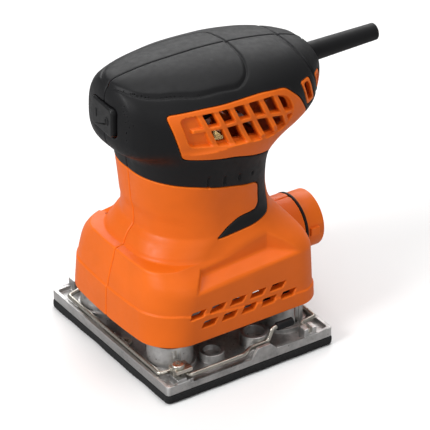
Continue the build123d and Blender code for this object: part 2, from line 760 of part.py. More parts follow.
WEIGHT_HUB_R = 11.0
WEIGHT_R = 26.0
WEIGHT_T = 5.0
SHAFT_FOOT = WEIGHT_Z + 4
with BuildPart() as counterweight:
    # eccentric pin below, hub above, and a half disc opposite the pin
    with BuildSketch(Plane.XY.offset(PIN_Z)):
        Circle(SHAFT_R)
    extrude(amount=WEIGHT_Z - PIN_Z)
    with BuildSketch(motor_plane(WEIGHT_Z)):
        Circle(WEIGHT_HUB_R)
    extrude(amount=FAN_Z - WEIGHT_Z)
    with BuildSketch(motor_plane(WEIGHT_Z)):
        Circle(WEIGHT_R)
        Circle(WEIGHT_HUB_R - 1, mode=Mode.SUBTRACT)
        with Locations((BEYOND / 2, 0)):
            Rectangle(BEYOND, BEYOND, mode=Mode.SUBTRACT)
    extrude(amount=WEIGHT_T)
    with BuildSketch(motor_plane(SHAFT_FOOT)):
        Circle(SHAFT_R)
    extrude(amount=FAN_Z, mode=Mode.SUBTRACT)
save(counterweight, "counterweight")

FAN_R = 32.0
FAN_HUB_R = 12.0
FAN_DISC_Z = FAN_Z + 4
FAN_DISC_T = 2.0
BLADE_COUNT = 12
BLADE = (17.0, 1.6)
BLADE_CIRCLE = 22.5
BLADE_PITCH = 18.0
BLADE_Z = WEIGHT_Z + 6
with BuildPart() as fan:
    with BuildSketch(motor_plane(FAN_DISC_Z)):
        Circle(FAN_R)
    extrude(amount=FAN_DISC_T)
    with BuildSketch(motor_plane(FAN_Z)):
        Circle(FAN_HUB_R)
    extrude(amount=FAN_TOP - FAN_Z)
    with BuildSketch(motor_plane(BLADE_Z)):
        with PolarLocations(BLADE_CIRCLE, BLADE_COUNT):
            Rectangle(*BLADE, rotation=BLADE_PITCH)
    extrude(amount=FAN_DISC_Z - BLADE_Z)
    with BuildSketch(motor_plane(FAN_Z)):
        Circle(SHAFT_R)
    extrude(amount=FAN_TOP - FAN_Z, mode=Mode.SUBTRACT)
save(fan, "fan")

with BuildPart() as shaft:
    with BuildSketch(motor_plane(SHAFT_FOOT)):
        Circle(SHAFT_R)
    extrude(amount=SHOULDER_Z - SHAFT_FOOT)
    with BuildSketch(motor_plane(SHOULDER_Z)):
        Circle(SHAFT_TOP_R)
    extrude(amount=SHAFT_TOP - SHOULDER_Z)
    chamfer(shaft.edges().group_by(Axis.Z)[-1], 0.6)
save(shaft, "shaft")

SLOT_COUNT = 12
SLOT = (5.0, 2.2)
with BuildPart() as armature_core:
    with BuildSketch(motor_plane(STATOR_Z)):
        Circle(ROTOR_R)
        with PolarLocations(ROTOR_R - 1.5, SLOT_COUNT):
            Rectangle(*SLOT, mode=Mode.SUBTRACT)
        Circle(SHAFT_TOP_R, mode=Mode.SUBTRACT)
    extrude(amount=STATOR_TOP - STATOR_Z)
save(armature_core, "armature_core")

WINDING_R = 14.0
WINDING_H = 7.0
WINDING_EDGE = 2.5
with BuildPart() as armature_windings:
    for z in (STATOR_Z - WINDING_H, STATOR_TOP):
        with BuildSketch(motor_plane(z)):
            Circle(WINDING_R)
            Circle(SHAFT_TOP_R, mode=Mode.SUBTRACT)
        extrude(amount=WINDING_H)
    rims = armature_windings.edges().filter_by(GeomType.CIRCLE)
    fillet(rims.filter_by(lambda rim: rim.radius > SHAFT_R), WINDING_EDGE)
save(armature_windings, "armature_windings")

BAR_COUNT = 24
BAR_GAP = (1.6, 0.4)
COMMUTATOR_H = 10.0
with BuildPart() as commutator:
    with BuildSketch(motor_plane(COMMUTATOR_Z)):
        Circle(COMMUTATOR_R)
        with PolarLocations(COMMUTATOR_R, BAR_COUNT):
            Rectangle(*BAR_GAP, mode=Mode.SUBTRACT)
        Circle(SHAFT_TOP_R, mode=Mode.SUBTRACT)
    extrude(amount=COMMUTATOR_H)
save(commutator, "commutator")

# ---------------------------------------------------------------- fixed bearings
lower_bearing = ball_bearing(
    motor_plane(LOWER_BEARING_Z), LOWER_BEARING_TOP - LOWER_BEARING_Z, LOWER_BEARING_R, SHAFT_R
)
save(lower_bearing, "lower_bearing")

PLATE_SINK = 0.1
PLATE_HUB_R = LOWER_BEARING_R + 4
PLATE_HOLE_R = 8.0
with BuildPart() as bearing_plate:
    with BuildSketch(motor_plane(LEDGE_Z - 3)):
        Circle(BEARING_PLATE_R)
    extrude(amount=3)
    with BuildSketch(motor_plane(LOWER_BEARING_Z - PLATE_SINK)):
        Circle(PLATE_HUB_R)
    extrude(amount=LEDGE_Z - LOWER_BEARING_Z + PLATE_SINK)
    with BuildSketch(motor_plane(LOWER_BEARING_Z - PLATE_SINK)):
        Circle(LOWER_BEARING_R)
    extrude(amount=LOWER_BEARING_TOP - LOWER_BEARING_Z + PLATE_SINK, mode=Mode.SUBTRACT)
    with BuildSketch(motor_plane(LOWER_BEARING_TOP)):
        Circle(PLATE_HOLE_R)
    extrude(amount=LEDGE_Z - LOWER_BEARING_TOP, mode=Mode.SUBTRACT)
    with BuildSketch(motor_plane(LEDGE_Z - 3)):
        with PolarLocations(PLATE_SCREW_CIRCLE, PLATE_SCREW_COUNT, start_angle=PLATE_SCREW_START):
            Circle(PLATE_SCREW_R + SCREW_FIT)
    extrude(amount=3, mode=Mode.SUBTRACT)
save(bearing_plate, "bearing_plate")

PLATE_SCREW_HEAD = (2.4, 2.0)
with BuildPart() as plate_screws:
    for z, radius, height in (
        (LEDGE_Z - 3, PLATE_SCREW_R, 5.5),
        (LEDGE_Z - 3 - PLATE_SCREW_HEAD[1], *PLATE_SCREW_HEAD),
    ):
        with BuildSketch(motor_plane(z)):
            with PolarLocations(PLATE_SCREW_CIRCLE, PLATE_SCREW_COUNT, start_angle=PLATE_SCREW_START):
                Circle(radius)
        extrude(amount=height)
save(plate_screws, "bearing_plate_screws")

top_bearing = ball_bearing(
    motor_plane(TOP_BEARING_Z + 0.5), TOP_BEARING_TOP - TOP_BEARING_Z - 0.5, TOP_BEARING_R, SHAFT_TOP_R
)
save(top_bearing, "top_bearing")

with BuildPart() as bearing_cap:
    with BuildSketch(motor_plane(TOP_BEARING_Z)):
        Circle(CAP_R)
        Circle(TOP_BEARING_R, mode=Mode.SUBTRACT)
    extrude(amount=TOP_BEARING_TOP - TOP_BEARING_Z)
    with BuildSketch(motor_plane(TOP_BEARING_TOP)):
        Circle(CAP_R)
        Circle(SHAFT_TOP_R + 1.5, mode=Mode.SUBTRACT)
    extrude(amount=2)
save(bearing_cap, "top_bearing_cap")

# ---------------------------------------------------------------- stator and brushes
AIR_GAP = 0.6
COIL_SLOT = (6.0, 9.0)
COIL_SLOT_CIRCLE = 20.0
with BuildPart() as stator_core:
    with BuildSketch(motor_plane(STATOR_Z)):
        Circle(STATOR_R)
        Circle(ROTOR_R + AIR_GAP, mode=Mode.SUBTRACT)
        with PolarLocations(COIL_SLOT_CIRCLE, 4, start_angle=45):
            Rectangle(*COIL_SLOT, mode=Mode.SUBTRACT)
    extrude(amount=STATOR_TOP - STATOR_Z)
save(stator_core, "stator_core")

COIL_R = (18.0, 24.5)
COIL_H = 6.0
COIL_GAP = 7.0
COIL_EDGE = 1.2
with BuildPart() as field_coils:
    for z in (STATOR_Z - COIL_H, STATOR_TOP):
        with BuildSketch(motor_plane(z)):
            Circle(COIL_R[1])
            Circle(COIL_R[0], mode=Mode.SUBTRACT)
            Rectangle(2 * BEYOND, COIL_GAP, mode=Mode.SUBTRACT)
        extrude(amount=COIL_H)
    fillet(field_coils.edges().filter_by(GeomType.CIRCLE), COIL_EDGE)
save(field_coils, "field_coils")

BRUSH = (6.0, 11.0, 8.0)
BRUSH_FIT = 0.1
SPRING_PITCH = 1.25
SPRING_L = 4.2
SPRING_R = 2.2
SPRING_WIRE_R = 0.35
LEFT_RIGHT = (("left", 1), ("right", -1))
for name, side in LEFT_RIGHT:
    with BuildPart() as holder:
        with Locations((MOTOR_X, side * HOLDER_Y, BRUSH_Z)):
            Box(*HOLDER)
        with Locations((MOTOR_X, side * (HOLDER_Y - 1), BRUSH_Z)):
            Box(BRUSH[0] + BRUSH_FIT, HOLDER[1], BRUSH[2] + BRUSH_FIT, mode=Mode.SUBTRACT)
    save(holder, f"brush_holder_{name}")

    with BuildPart() as brush:
        with Locations((MOTOR_X, side * (COMMUTATOR_R + BRUSH_FIT + BRUSH[1] / 2), BRUSH_Z)):
            Box(*BRUSH)
    save(brush, f"brush_{name}")

    spring_y = side * (COMMUTATOR_R + BRUSH_FIT + BRUSH[1] + SPRING_WIRE_R + 0.15)
    with BuildPart() as spring:
        with BuildLine() as coil:
            Helix(SPRING_PITCH, SPRING_L, SPRING_R, center=(MOTOR_X, spring_y, BRUSH_Z), direction=(0, side, 0))
        with BuildSketch(Plane(coil.line @ 0, z_dir=coil.line % 0)):
            Circle(SPRING_WIRE_R)
        sweep(is_frenet=True)
    save(spring, f"brush_spring_{name}")

# ---------------------------------------------------------------- switch, leads and capacitor
SWITCH_BODY_X = (26.0, 45.0)
SWITCH_BODY = (19.0, 17.0)
SWITCH_POCKET = (16.0, 13.0)
with BuildPart() as switch_body:
    with Locations((sum(SWITCH_BODY_X) / 2, 0, SWITCH_Z)):
        Box(SWITCH_BODY_X[1] - SWITCH_BODY_X[0], *SWITCH_BODY)
    with Locations((SWITCH_BODY_X[1], 0, SWITCH_Z)):
        Box(10, *SWITCH_POCKET, mode=Mode.SUBTRACT)
    with Locations((SWITCH_PIVOT, 0, SWITCH_Z)):
        Cylinder(1.5 + PIVOT_FIT, 15.6, mode=Mode.SUBTRACT)
save(switch_body, "switch_body")

PADDLE = (21.0, 16.0)
PADDLE_X = (46.3, 52.0)
PADDLE_CORNER = 3.0
PADDLE_EDGE = 1.2
MARK_Y = 5.5
with BuildPart() as switch_rocker:
    with BuildSketch(facing_front(PADDLE_X[0], SWITCH_Z)):
        RectangleRounded(*PADDLE, PADDLE_CORNER)
    extrude(amount=PADDLE_X[1] - PADDLE_X[0])
    fillet(switch_rocker.faces().sort_by(Axis.X)[-1].edges(), PADDLE_EDGE)
    with Locations((SWITCH_PIVOT + 1.3, 0, SWITCH_Z)):
        Box(5, 10, 12)
    with Locations((SWITCH_PIVOT, 0, SWITCH_Z)):
        Cylinder(1.5, 15)
    # raised bar and ring that mark the on and off ends
    with Locations((PADDLE_X[1] + 0.1, -MARK_Y, SWITCH_Z)):
        Box(0.6, 0.9, 4.5)
    with BuildSketch(Plane((PADDLE_X[1] - 0.2, MARK_Y, SWITCH_Z), x_dir=(0, 1, 0), z_dir=(1, 0, 0))):
        Ellipse(1.7, 2.4)
        Ellipse(0.9, 1.6, mode=Mode.SUBTRACT)
    extrude(amount=0.6)
# at rest the rocker is pressed to its off side
switch_rocker.part = switch_rocker.part.rotate(Axis((SWITCH_PIVOT, 0, 0), (0, 0, 1)), -SWITCH_TILT)
save(switch_rocker, "switch_rocker")

LEAD_R = 0.9
LEAD_BEND = 3.0
LEAD_X = 18.0
LEAD_Y = (12.0, 6.0)
LEAD_TOP = SWITCH_Z - 3.5
for name, side in LEFT_RIGHT:
    with BuildPart() as lead:
        with BuildLine() as route:
            FilletPolyline(
                (LEAD_X, side * LEAD_Y[0], STATOR_TOP + COIL_H),
                (LEAD_X, side * LEAD_Y[0], LEAD_TOP - 12),
                (LEAD_X, side * LEAD_Y[1], LEAD_TOP),
                (SWITCH_BODY_X[0], side * LEAD_Y[1], LEAD_TOP),
                radius=LEAD_BEND,
            )
        with BuildSketch(Plane(route.line @ 0, z_dir=route.line % 0)):
            Circle(LEAD_R)
        sweep()
    save(lead, f"{name}_coil_lead")

with BuildPart() as capacitor:
    with Locations((CAPACITOR_X, 0, SHELF_Z + SHELF_T)):
        Box(*CAPACITOR, align=UPRIGHT)
    fillet(capacitor.edges().filter_by(Axis.Z), 1.5)
save(capacitor, "capacitor")

# ---------------------------------------------------------------- dust outlet
PORT_ROOT = SEAL_X - 2.0
LUG = (5.5, 3.0, 4.5)
LUG_X = PORT_END + 6.5
with BuildPart() as dust_port:
    with BuildSketch(facing_rear(PORT_ROOT, PORT_Z)):
        Circle(PORT_R)
    extrude(amount=PORT_ROOT - PORT_END)
    with BuildSketch(facing_rear(PORT_ROOT, PORT_Z)):
        Circle(COLLAR_BORE - 0.1)
    extrude(amount=PORT_ROOT - FLANGE_X - FLANGE_T)
    with BuildSketch(facing_front(FLANGE_X, PORT_Z)):
        Circle(FLANGE_R)
    extrude(amount=FLANGE_T)
    with BuildSketch(facing_front(PORT_END, PORT_Z)):
        Circle(PORT_BORE)
    extrude(amount=BEYOND, mode=Mode.SUBTRACT)
    # lug that locks the dust bag's collar
    with Locations((LUG_X, PORT_R - 0.2, PORT_Z + 1)):
        Box(*LUG)
save(dust_port, "dust_port")

SEAL_EDGE = 0.9
with BuildPart() as dust_port_seal:
    with BuildSketch(facing_rear(SEAL_X, PORT_Z)):
        Circle(COLLAR_R + 0.2)
        Circle(COLLAR_BORE, mode=Mode.SUBTRACT)
    extrude(amount=SEAL_X - PORT_ROOT)
    rims = dust_port_seal.edges().filter_by(GeomType.CIRCLE)
    fillet(rims.filter_by(lambda rim: rim.radius > COLLAR_R), SEAL_EDGE)
save(dust_port_seal, "dust_port_seal")

# ---------------------------------------------------------------- cord sleeve and its clamp
SLEEVE_EDGE = 0.4
with BuildPart() as cord_sleeve:
    with BuildSketch(facing_front(SLEEVE_END, SLEEVE_Z)):
        Circle(SLEEVE_TIP_R)
    with BuildSketch(facing_front(SLEEVE_NECK_X, SLEEVE_Z)):
        Circle(SLEEVE_R)
    loft()
    with BuildSketch(facing_front(SLEEVE_NECK_X, SLEEVE_Z)):
        Circle(SLEEVE_R)
    extrude(amount=SLEEVE_FOOT - SLEEVE_NECK_X)
    with BuildSketch(facing_front(SLEEVE_FLANGE_X, SLEEVE_Z)):
        Circle(SLEEVE_FLANGE_R)
    extrude(amount=SLEEVE_FLANGE_T)
    with BuildSketch(facing_front(SLEEVE_END, SLEEVE_Z)):
        Circle(SLEEVE_BORE)
    extrude(amount=SLEEVE_FOOT - SLEEVE_END, mode=Mode.SUBTRACT)
    fillet(cord_sleeve.faces().sort_by(Axis.X)[0].edges(), SLEEVE_EDGE)
save(cord_sleeve, "cord_sleeve")

CLAMP_BAR = (5.0, 5.0, 20.0)
with BuildPart() as cord_clamp:
    with Locations((CLAMP_X, -CLAMP_BAR[1] / 2, SLEEVE_Z)):
        Box(*CLAMP_BAR)
    with BuildSketch(facing_front(CLAMP_X - CLAMP_BAR[0], SLEEVE_Z)):
        Circle(SLEEVE_BORE)
    extrude(amount=2 * CLAMP_BAR[0], mode=Mode.SUBTRACT)
    for z in CLAMP_SCREW_Z:
        with BuildSketch(facing_right(CLAMP_X, 0, z)):
            Circle(CLAMP_SCREW_R + SCREW_FIT)
        extrude(amount=CLAMP_BAR[1], mode=Mode.SUBTRACT)
save(cord_clamp, "cord_clamp")

CLAMP_SCREW_HEAD = (2.5, 1.8)
CLAMP_SCREW_L = 8.0
with BuildPart() as clamp_screws:
    for z in CLAMP_SCREW_Z:
        with BuildSketch(facing_right(CLAMP_X, -CLAMP_BAR[1], z)):
            Circle(CLAMP_SCREW_R - SCREW_FIT)
        extrude(amount=-CLAMP_BAR[1] - CLAMP_SCREW_L)
        with BuildSketch(facing_right(CLAMP_X, -CLAMP_BAR[1], z)):
            Circle(CLAMP_SCREW_HEAD[0])
        extrude(amount=CLAMP_SCREW_HEAD[1])
save(clamp_screws, "cord_clamp_screws")

# ---------------------------------------------------------------- housing screws
with BuildPart() as housing_screws:
    for x, z in HOUSING_SCREWS:
        with BuildSketch(facing_right(x, SCREW_HEAD_Y, z)):
            Circle(SCREW_R - SCREW_FIT)
        extrude(amount=SCREW_HEAD_Y - SCREW_TIP_Y)
        with BuildSketch(facing_right(x, SCREW_HEAD_Y, z)):
            Circle(SCREW_HEAD_R)
        extrude(amount=SCREW_HEAD_H)
        with Locations((x, SCREW_HEAD_Y - SCREW_HEAD_H, z)):
            Box(DRIVE_L, 2, DRIVE_W, mode=Mode.SUBTRACT)
            Box(DRIVE_W, 2, DRIVE_L, mode=Mode.SUBTRACT)
save(housing_screws, "housing_screws")
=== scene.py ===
"""Looks of the quarter-sheet palm sander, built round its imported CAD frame.

The moulded shells and rubber grips are meshed from distance fields in millimetres, in the CAD frame:
+X is the front, +Y the machine's left side, +Z up, and the pad's lower face is z = 0.
"""

import json
import math
from functools import partial

import bpy
import numpy as np
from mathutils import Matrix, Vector


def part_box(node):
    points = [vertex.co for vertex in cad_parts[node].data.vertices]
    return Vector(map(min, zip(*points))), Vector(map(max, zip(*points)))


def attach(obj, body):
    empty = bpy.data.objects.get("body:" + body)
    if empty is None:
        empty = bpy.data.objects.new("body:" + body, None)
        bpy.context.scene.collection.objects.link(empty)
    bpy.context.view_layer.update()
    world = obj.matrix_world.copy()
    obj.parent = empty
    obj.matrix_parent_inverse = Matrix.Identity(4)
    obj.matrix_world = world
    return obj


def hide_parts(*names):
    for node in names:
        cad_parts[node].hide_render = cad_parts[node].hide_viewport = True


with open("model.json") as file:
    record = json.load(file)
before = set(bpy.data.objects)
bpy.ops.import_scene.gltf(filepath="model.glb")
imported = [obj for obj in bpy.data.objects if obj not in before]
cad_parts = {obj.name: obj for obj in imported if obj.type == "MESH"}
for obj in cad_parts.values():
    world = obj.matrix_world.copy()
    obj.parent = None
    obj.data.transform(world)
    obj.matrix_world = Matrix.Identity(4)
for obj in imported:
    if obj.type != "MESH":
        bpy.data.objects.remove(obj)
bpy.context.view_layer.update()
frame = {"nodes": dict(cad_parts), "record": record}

MM = 0.001


def box_mm(node):
    """Lowest and highest corner of a CAD node, in millimetres."""
    low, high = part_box(node)
    return np.array(low) / MM, np.array(high) / MM


# ---------------------------------------------------------------- camera, floor and light
CAMERA_AZIMUTH = math.radians(56.175)
CAMERA_ELEVATION = math.radians(31.0)
CAMERA_DISTANCE = 1.5
CAMERA_TARGET = Vector((0.001668, 0.024996, 0.080))
CAMERA_SENSOR = 36.0
CAMERA_LENS = 248.76


def make_camera():
    """A long lens in front of the machine's left front corner, looking down at it."""
    data = bpy.data.cameras.new("camera")
    data.sensor_width = CAMERA_SENSOR
    data.lens = CAMERA_LENS
    data.clip_end = 50.0
    camera = bpy.data.objects.new("camera", data)
    bpy.context.scene.collection.objects.link(camera)
    back = Vector((
        math.cos(CAMERA_AZIMUTH) * math.cos(CAMERA_ELEVATION),
        math.sin(CAMERA_AZIMUTH) * math.cos(CAMERA_ELEVATION),
        math.sin(CAMERA_ELEVATION),
    ))
    camera.location = CAMERA_TARGET + back * CAMERA_DISTANCE
    camera.rotation_euler = (-back).to_track_quat("-Z", "Y").to_euler()
    bpy.context.scene.camera = camera


LIGHT_AIM = Vector((0, 0, 0.07))


def area_light(name, place, size, power):
    """One soft square light at a place, aimed at the middle of the machine."""
    data = bpy.data.lights.new(name, "AREA")
    data.size = size
    data.energy = power
    light = bpy.data.objects.new(name, data)
    light.location = place
    light.rotation_euler = (LIGHT_AIM - Vector(place)).to_track_quat("-Z", "Y").to_euler()
    bpy.context.scene.collection.objects.link(light)


FLOOR_HALF = 6.0
FLOOR_DROP = 0.0002
FLOOR_SEEN = (0.95, 0.95, 0.95, 1)
FLOOR_BOUNCE = (0.42, 0.42, 0.42, 1)
SKY_STRENGTH = 0.30
SKY_SEEN = 0.95
# Name, place, size and power of each light
LIGHTS = [
    ("key", (1.4, 0.05, 0.95), 0.7, 18.5),
    ("left_fill", (0.3, 1.5, 0.8), 1.0, 3.6),
    ("back", (-0.75, -1.1, 0.95), 1.2, 13.5),
    ("top", (-0.2, 0.1, 1.6), 1.0, 10.5),
]


def make_studio():
    """Pale floor that looks white but throws little light up, a dim even sky and four soft lights."""
    mesh = bpy.data.meshes.new("floor")
    corners = [(x * FLOOR_HALF, y * FLOOR_HALF, 0) for x, y in ((-1, -1), (1, -1), (1, 1), (-1, 1))]
    mesh.from_pydata(corners, [], [(0, 1, 2, 3)])
    floor = bpy.data.objects.new("floor", mesh)
    floor.location.z = -FLOOR_DROP
    bpy.context.scene.collection.objects.link(floor)
    paint = bpy.data.materials.new("floor")
    paint.use_nodes = True
    tree = paint.node_tree
    shader = tree.nodes["Principled BSDF"]
    shader.inputs["Roughness"].default_value = 0.9
    shader.inputs["Specular IOR Level"].default_value = 0.0
    path = tree.nodes.new("ShaderNodeLightPath")
    tone = tree.nodes.new("ShaderNodeMix")
    tone.data_type = "RGBA"
    tone.inputs[6].default_value = FLOOR_BOUNCE
    tone.inputs[7].default_value = FLOOR_SEEN
    tree.links.new(path.outputs["Is Camera Ray"], tone.inputs[0])
    tree.links.new(tone.outputs[2], shader.inputs["Base Color"])
    mesh.materials.append(paint)

    world = bpy.data.worlds.new("sky")
    world.use_nodes = True
    background = world.node_tree.nodes["Background"]
    background.inputs["Color"].default_value = (1, 1, 1, 1)
    ray = world.node_tree.nodes.new("ShaderNodeLightPath")
    strength = world.node_tree.nodes.new("ShaderNodeMapRange")
    strength.inputs["To Min"].default_value = SKY_STRENGTH
    strength.inputs["To Max"].default_value = SKY_SEEN
    world.node_tree.links.new(ray.outputs["Is Camera Ray"], strength.inputs["Value"])
    world.node_tree.links.new(strength.outputs["Result"], background.inputs["Strength"])
    bpy.context.scene.world = world
    for name, place, size, power in LIGHTS:
        area_light(name, place, size, power)
    bpy.context.scene.view_settings.view_transform = "Standard"


# ---------------------------------------------------------------- materials
class Paint:
    """One procedural material: a principled shader whose inputs are built node by node."""

    def __init__(self, name, roughness=0.5, metallic=0.0, **constants):
        self.material = bpy.data.materials.new(name)
        self.material.use_nodes = True
        self.tree = self.material.node_tree
        self.shader = self.tree.nodes["Principled BSDF"]
        self.shader.inputs["Roughness"].default_value = roughness
        self.shader.inputs["Metallic"].default_value = metallic
        for socket, value in constants.items():
            self.shader.inputs[socket.replace("_", " ").title().replace("Ior", "IOR")].default_value = value
        self.place = self.tree.nodes.new("ShaderNodeTexCoord").outputs["Object"]

    def link(self, source, target):
        self.tree.links.new(source, target)

    def noise(self, size, detail=3.0, rough=0.5, stretch=None):
        """Noise with grains of about that many millimetres, stretched along the axes if asked."""
        node = self.tree.nodes.new("ShaderNodeTexNoise")
        node.inputs["Scale"].default_value = 1 / (size * MM)
        node.inputs["Detail"].default_value = detail
        node.inputs["Roughness"].default_value = rough
        place = self.place
        if stretch:
            mapping = self.tree.nodes.new("ShaderNodeMapping")
            mapping.inputs["Scale"].default_value = stretch
            self.link(place, mapping.inputs["Vector"])
            place = mapping.outputs["Vector"]
        self.link(place, node.inputs["Vector"])
        return node.outputs["Fac"]

    def cells(self, size):
        """Distance to the nearest of scattered points, for pores and specks."""
        node = self.tree.nodes.new("ShaderNodeTexVoronoi")
        node.inputs["Scale"].default_value = 1 / (size * MM)
        self.link(self.place, node.inputs["Vector"])
        return node.outputs["Distance"]

    def span(self, value, low, high, out_low, out_high):
        """A value mapped from one range to another, clamped."""
        node = self.tree.nodes.new("ShaderNodeMapRange")
        limits = {"From Min": low, "From Max": high, "To Min": out_low, "To Max": out_high}
        for socket, number in limits.items():
            node.inputs[socket].default_value = number
        self.link(value, node.inputs["Value"])
        return node.outputs["Result"]

    def ramp(self, value, stops):
        """Colours along a value."""
        node = self.tree.nodes.new("ShaderNodeValToRGB")
        elements = node.color_ramp.elements
        while len(elements) < len(stops):
            elements.new(0.5)
        for element, (place, colour) in zip(elements, stops):
            element.position = place
            element.color = (*colour, 1)
        self.link(value, node.inputs["Fac"])
        return node.outputs["Color"]

    def mix(self, share, a, b):
        """Two colours mixed by a share."""
        node = self.tree.nodes.new("ShaderNodeMix")
        node.data_type = "RGBA"
        self.link(share, node.inputs[0])
        for socket, colour in ((node.inputs[6], a), (node.inputs[7], b)):
            if isinstance(colour, tuple):
                socket.default_value = (*colour, 1)
            else:
                self.link(colour, socket)
        return node.outputs[2]

    def times(self, a, b):
        """Two colours multiplied."""
        node = self.tree.nodes.new("ShaderNodeMix")
        node.data_type = "RGBA"
        node.blend_type = "MULTIPLY"
        node.inputs[0].default_value = 1.0
        self.link(a, node.inputs[6])
        self.link(b, node.inputs[7])
        return node.outputs[2]

    def edges(self, low=0.515, high=0.56):
        """1 on convex edges, 0 elsewhere."""
        geometry = self.tree.nodes.new("ShaderNodeNewGeometry")
        return self.span(geometry.outputs["Pointiness"], low, high, 0, 1)

    def colour(self, value):
        self.link(value, self.shader.inputs["Base Color"])

    def rough(self, value):
        self.link(value, self.shader.inputs["Roughness"])

    def metal(self, value):
        self.link(value, self.shader.inputs["Metallic"])

    def bump(self, height, depth, strength=1.0):
        """Fine relief of about that many millimetres, added to any relief before it."""
        node = self.tree.nodes.new("ShaderNodeBump")
        node.inputs["Strength"].default_value = strength
        node.inputs["Distance"].default_value = depth * MM
        self.link(height, node.inputs["Height"])
        before = self.shader.inputs["Normal"]
        if before.links:
            self.link(before.links[0].from_socket, node.inputs["Normal"])
        self.link(node.outputs["Normal"], before)


def tinted(colour, factor):
    """A colour made lighter or darker."""
    return tuple(min(1.0, c * factor) for c in colour)


def moulded(name, colour, rough, grain=0.35, depth=0.02, wear_and_highlight=1.25, **constants):
    """Moulded plastic: faint blotches, spark-eroded grain, and convex edges painted lighter, part rubbed wear
    and part painted highlight.
    """
    paint = Paint(name, **constants)
    blotch = paint.noise(22, 2)
    body = paint.ramp(blotch, [(0.3, tinted(colour, 0.94)), (0.7, tinted(colour, 1.04))])
    edge = paint.edges()
    # Convex edges get a lighter tint: rubbed wear together with a painted highlight.
    paint.colour(paint.mix(edge, body, tinted(colour, wear_and_highlight)))
    paint.rough(paint.span(paint.noise(3, 4), 0.3, 0.7, rough - 0.05, rough + 0.06))
    paint.bump(paint.noise(grain, 2), depth)
    return paint.material


ALUMINIUM_SKIN = [(0.30, 0.23), (0.44, 0.43), (0.6, 0.56), (0.78, 0.67)]


def cast_metal():
    """Tumbled aluminium casting: pebbled grey skin, soot in the low spots, brighter edges."""
    paint = Paint("cast_aluminium")
    stain = paint.noise(11, 6, 0.68)
    skin = paint.ramp(stain, [(place, (grey, 0.985 * grey, 0.97 * grey)) for place, grey in ALUMINIUM_SKIN])
    specks = paint.ramp(paint.cells(3.4), [(0.04, (0.30, 0.27, 0.25)), (0.16, (1, 1, 1))])
    paint.colour(paint.mix(paint.edges(0.52, 0.6), paint.times(skin, specks), (0.8, 0.8, 0.79)))
    paint.metal(paint.span(stain, 0.3, 0.5, 0.75, 1.0))
    paint.rough(paint.span(paint.noise(4, 5, 0.7), 0.3, 0.7, 0.34, 0.58))
    paint.bump(paint.noise(0.9, 4, 0.6), 0.06)
    paint.bump(paint.noise(6, 2), 0.15)
    return paint.material


def drawn_metal(name, colour, rough=0.28, stretch=(1, 1, 1)):
    """Plated or drawn steel: long faint scratches and a slightly uneven lustre."""
    paint = Paint(name, metallic=1.0)
    body = paint.ramp(paint.noise(5, 4), [(0.3, tinted(colour, 0.8)), (0.7, colour)])
    paint.colour(paint.mix(paint.edges(), body, tinted(colour, 1.2)))
    paint.rough(paint.span(paint.noise(0.8, 4, 0.6, stretch), 0.3, 0.7, rough - 0.08, rough + 0.12))
    paint.bump(paint.noise(0.35, 3, 0.5, stretch), 0.012)
    return paint.material


def sponge(name, colour):
    """Closed-cell foam: pores painted darker as painted shade in the pits, and paler where the edges are
    convex.
    """
    paint = Paint(name, roughness=0.95)
    pore = paint.cells(0.55)
    # Darker at the pores: painted shade in the pits.
    body = paint.ramp(pore, [(0.1, tinted(colour, 0.45)), (0.55, colour)])
    # Paler on convex edges.
    paint.colour(paint.mix(paint.edges(0.52, 0.62), body, tinted(colour, 1.9)))
    paint.bump(pore, 0.25)
    paint.bump(paint.noise(4, 3), 0.2)
    return paint.material


COPPER_TURNS = 350
SHEET_LINES = 320


def wound_copper():
    """Enamelled wire laid in turns."""
    paint = Paint("copper", metallic=0.8, roughness=0.35)
    wave = paint.tree.nodes.new("ShaderNodeTexWave")
    wave.bands_direction = "Z"
    wave.inputs["Scale"].default_value = COPPER_TURNS
    wave.inputs["Distortion"].default_value = 1.5
    paint.link(paint.place, wave.inputs["Vector"])
    paint.colour(paint.ramp(wave.outputs["Fac"], [(0.1, (0.17, 0.05, 0.02)), (0.8, (0.62, 0.24, 0.09))]))
    paint.bump(wave.outputs["Fac"], 0.15)
    return paint.material


def laminations():
    """Stacked sheet steel, one thin dark line for each sheet."""
    paint = Paint("lamination_steel", metallic=1.0)
    wave = paint.tree.nodes.new("ShaderNodeTexWave")
    wave.bands_direction = "Z"
    wave.inputs["Scale"].default_value = SHEET_LINES
    paint.link(paint.place, wave.inputs["Vector"])
    paint.colour(paint.ramp(wave.outputs["Fac"], [(0.2, (0.10, 0.10, 0.105)), (0.7, (0.32, 0.32, 0.33))]))
    paint.rough(paint.span(paint.noise(2, 3), 0.3, 0.7, 0.35, 0.55))
    paint.bump(wave.outputs["Fac"], 0.05)
    return paint.material


ORANGE = (0.875, 0.155, 0.008)
BLACK = (0.009, 0.009, 0.0098)
DRAWN_ALONG_X = (0.08, 1, 1)


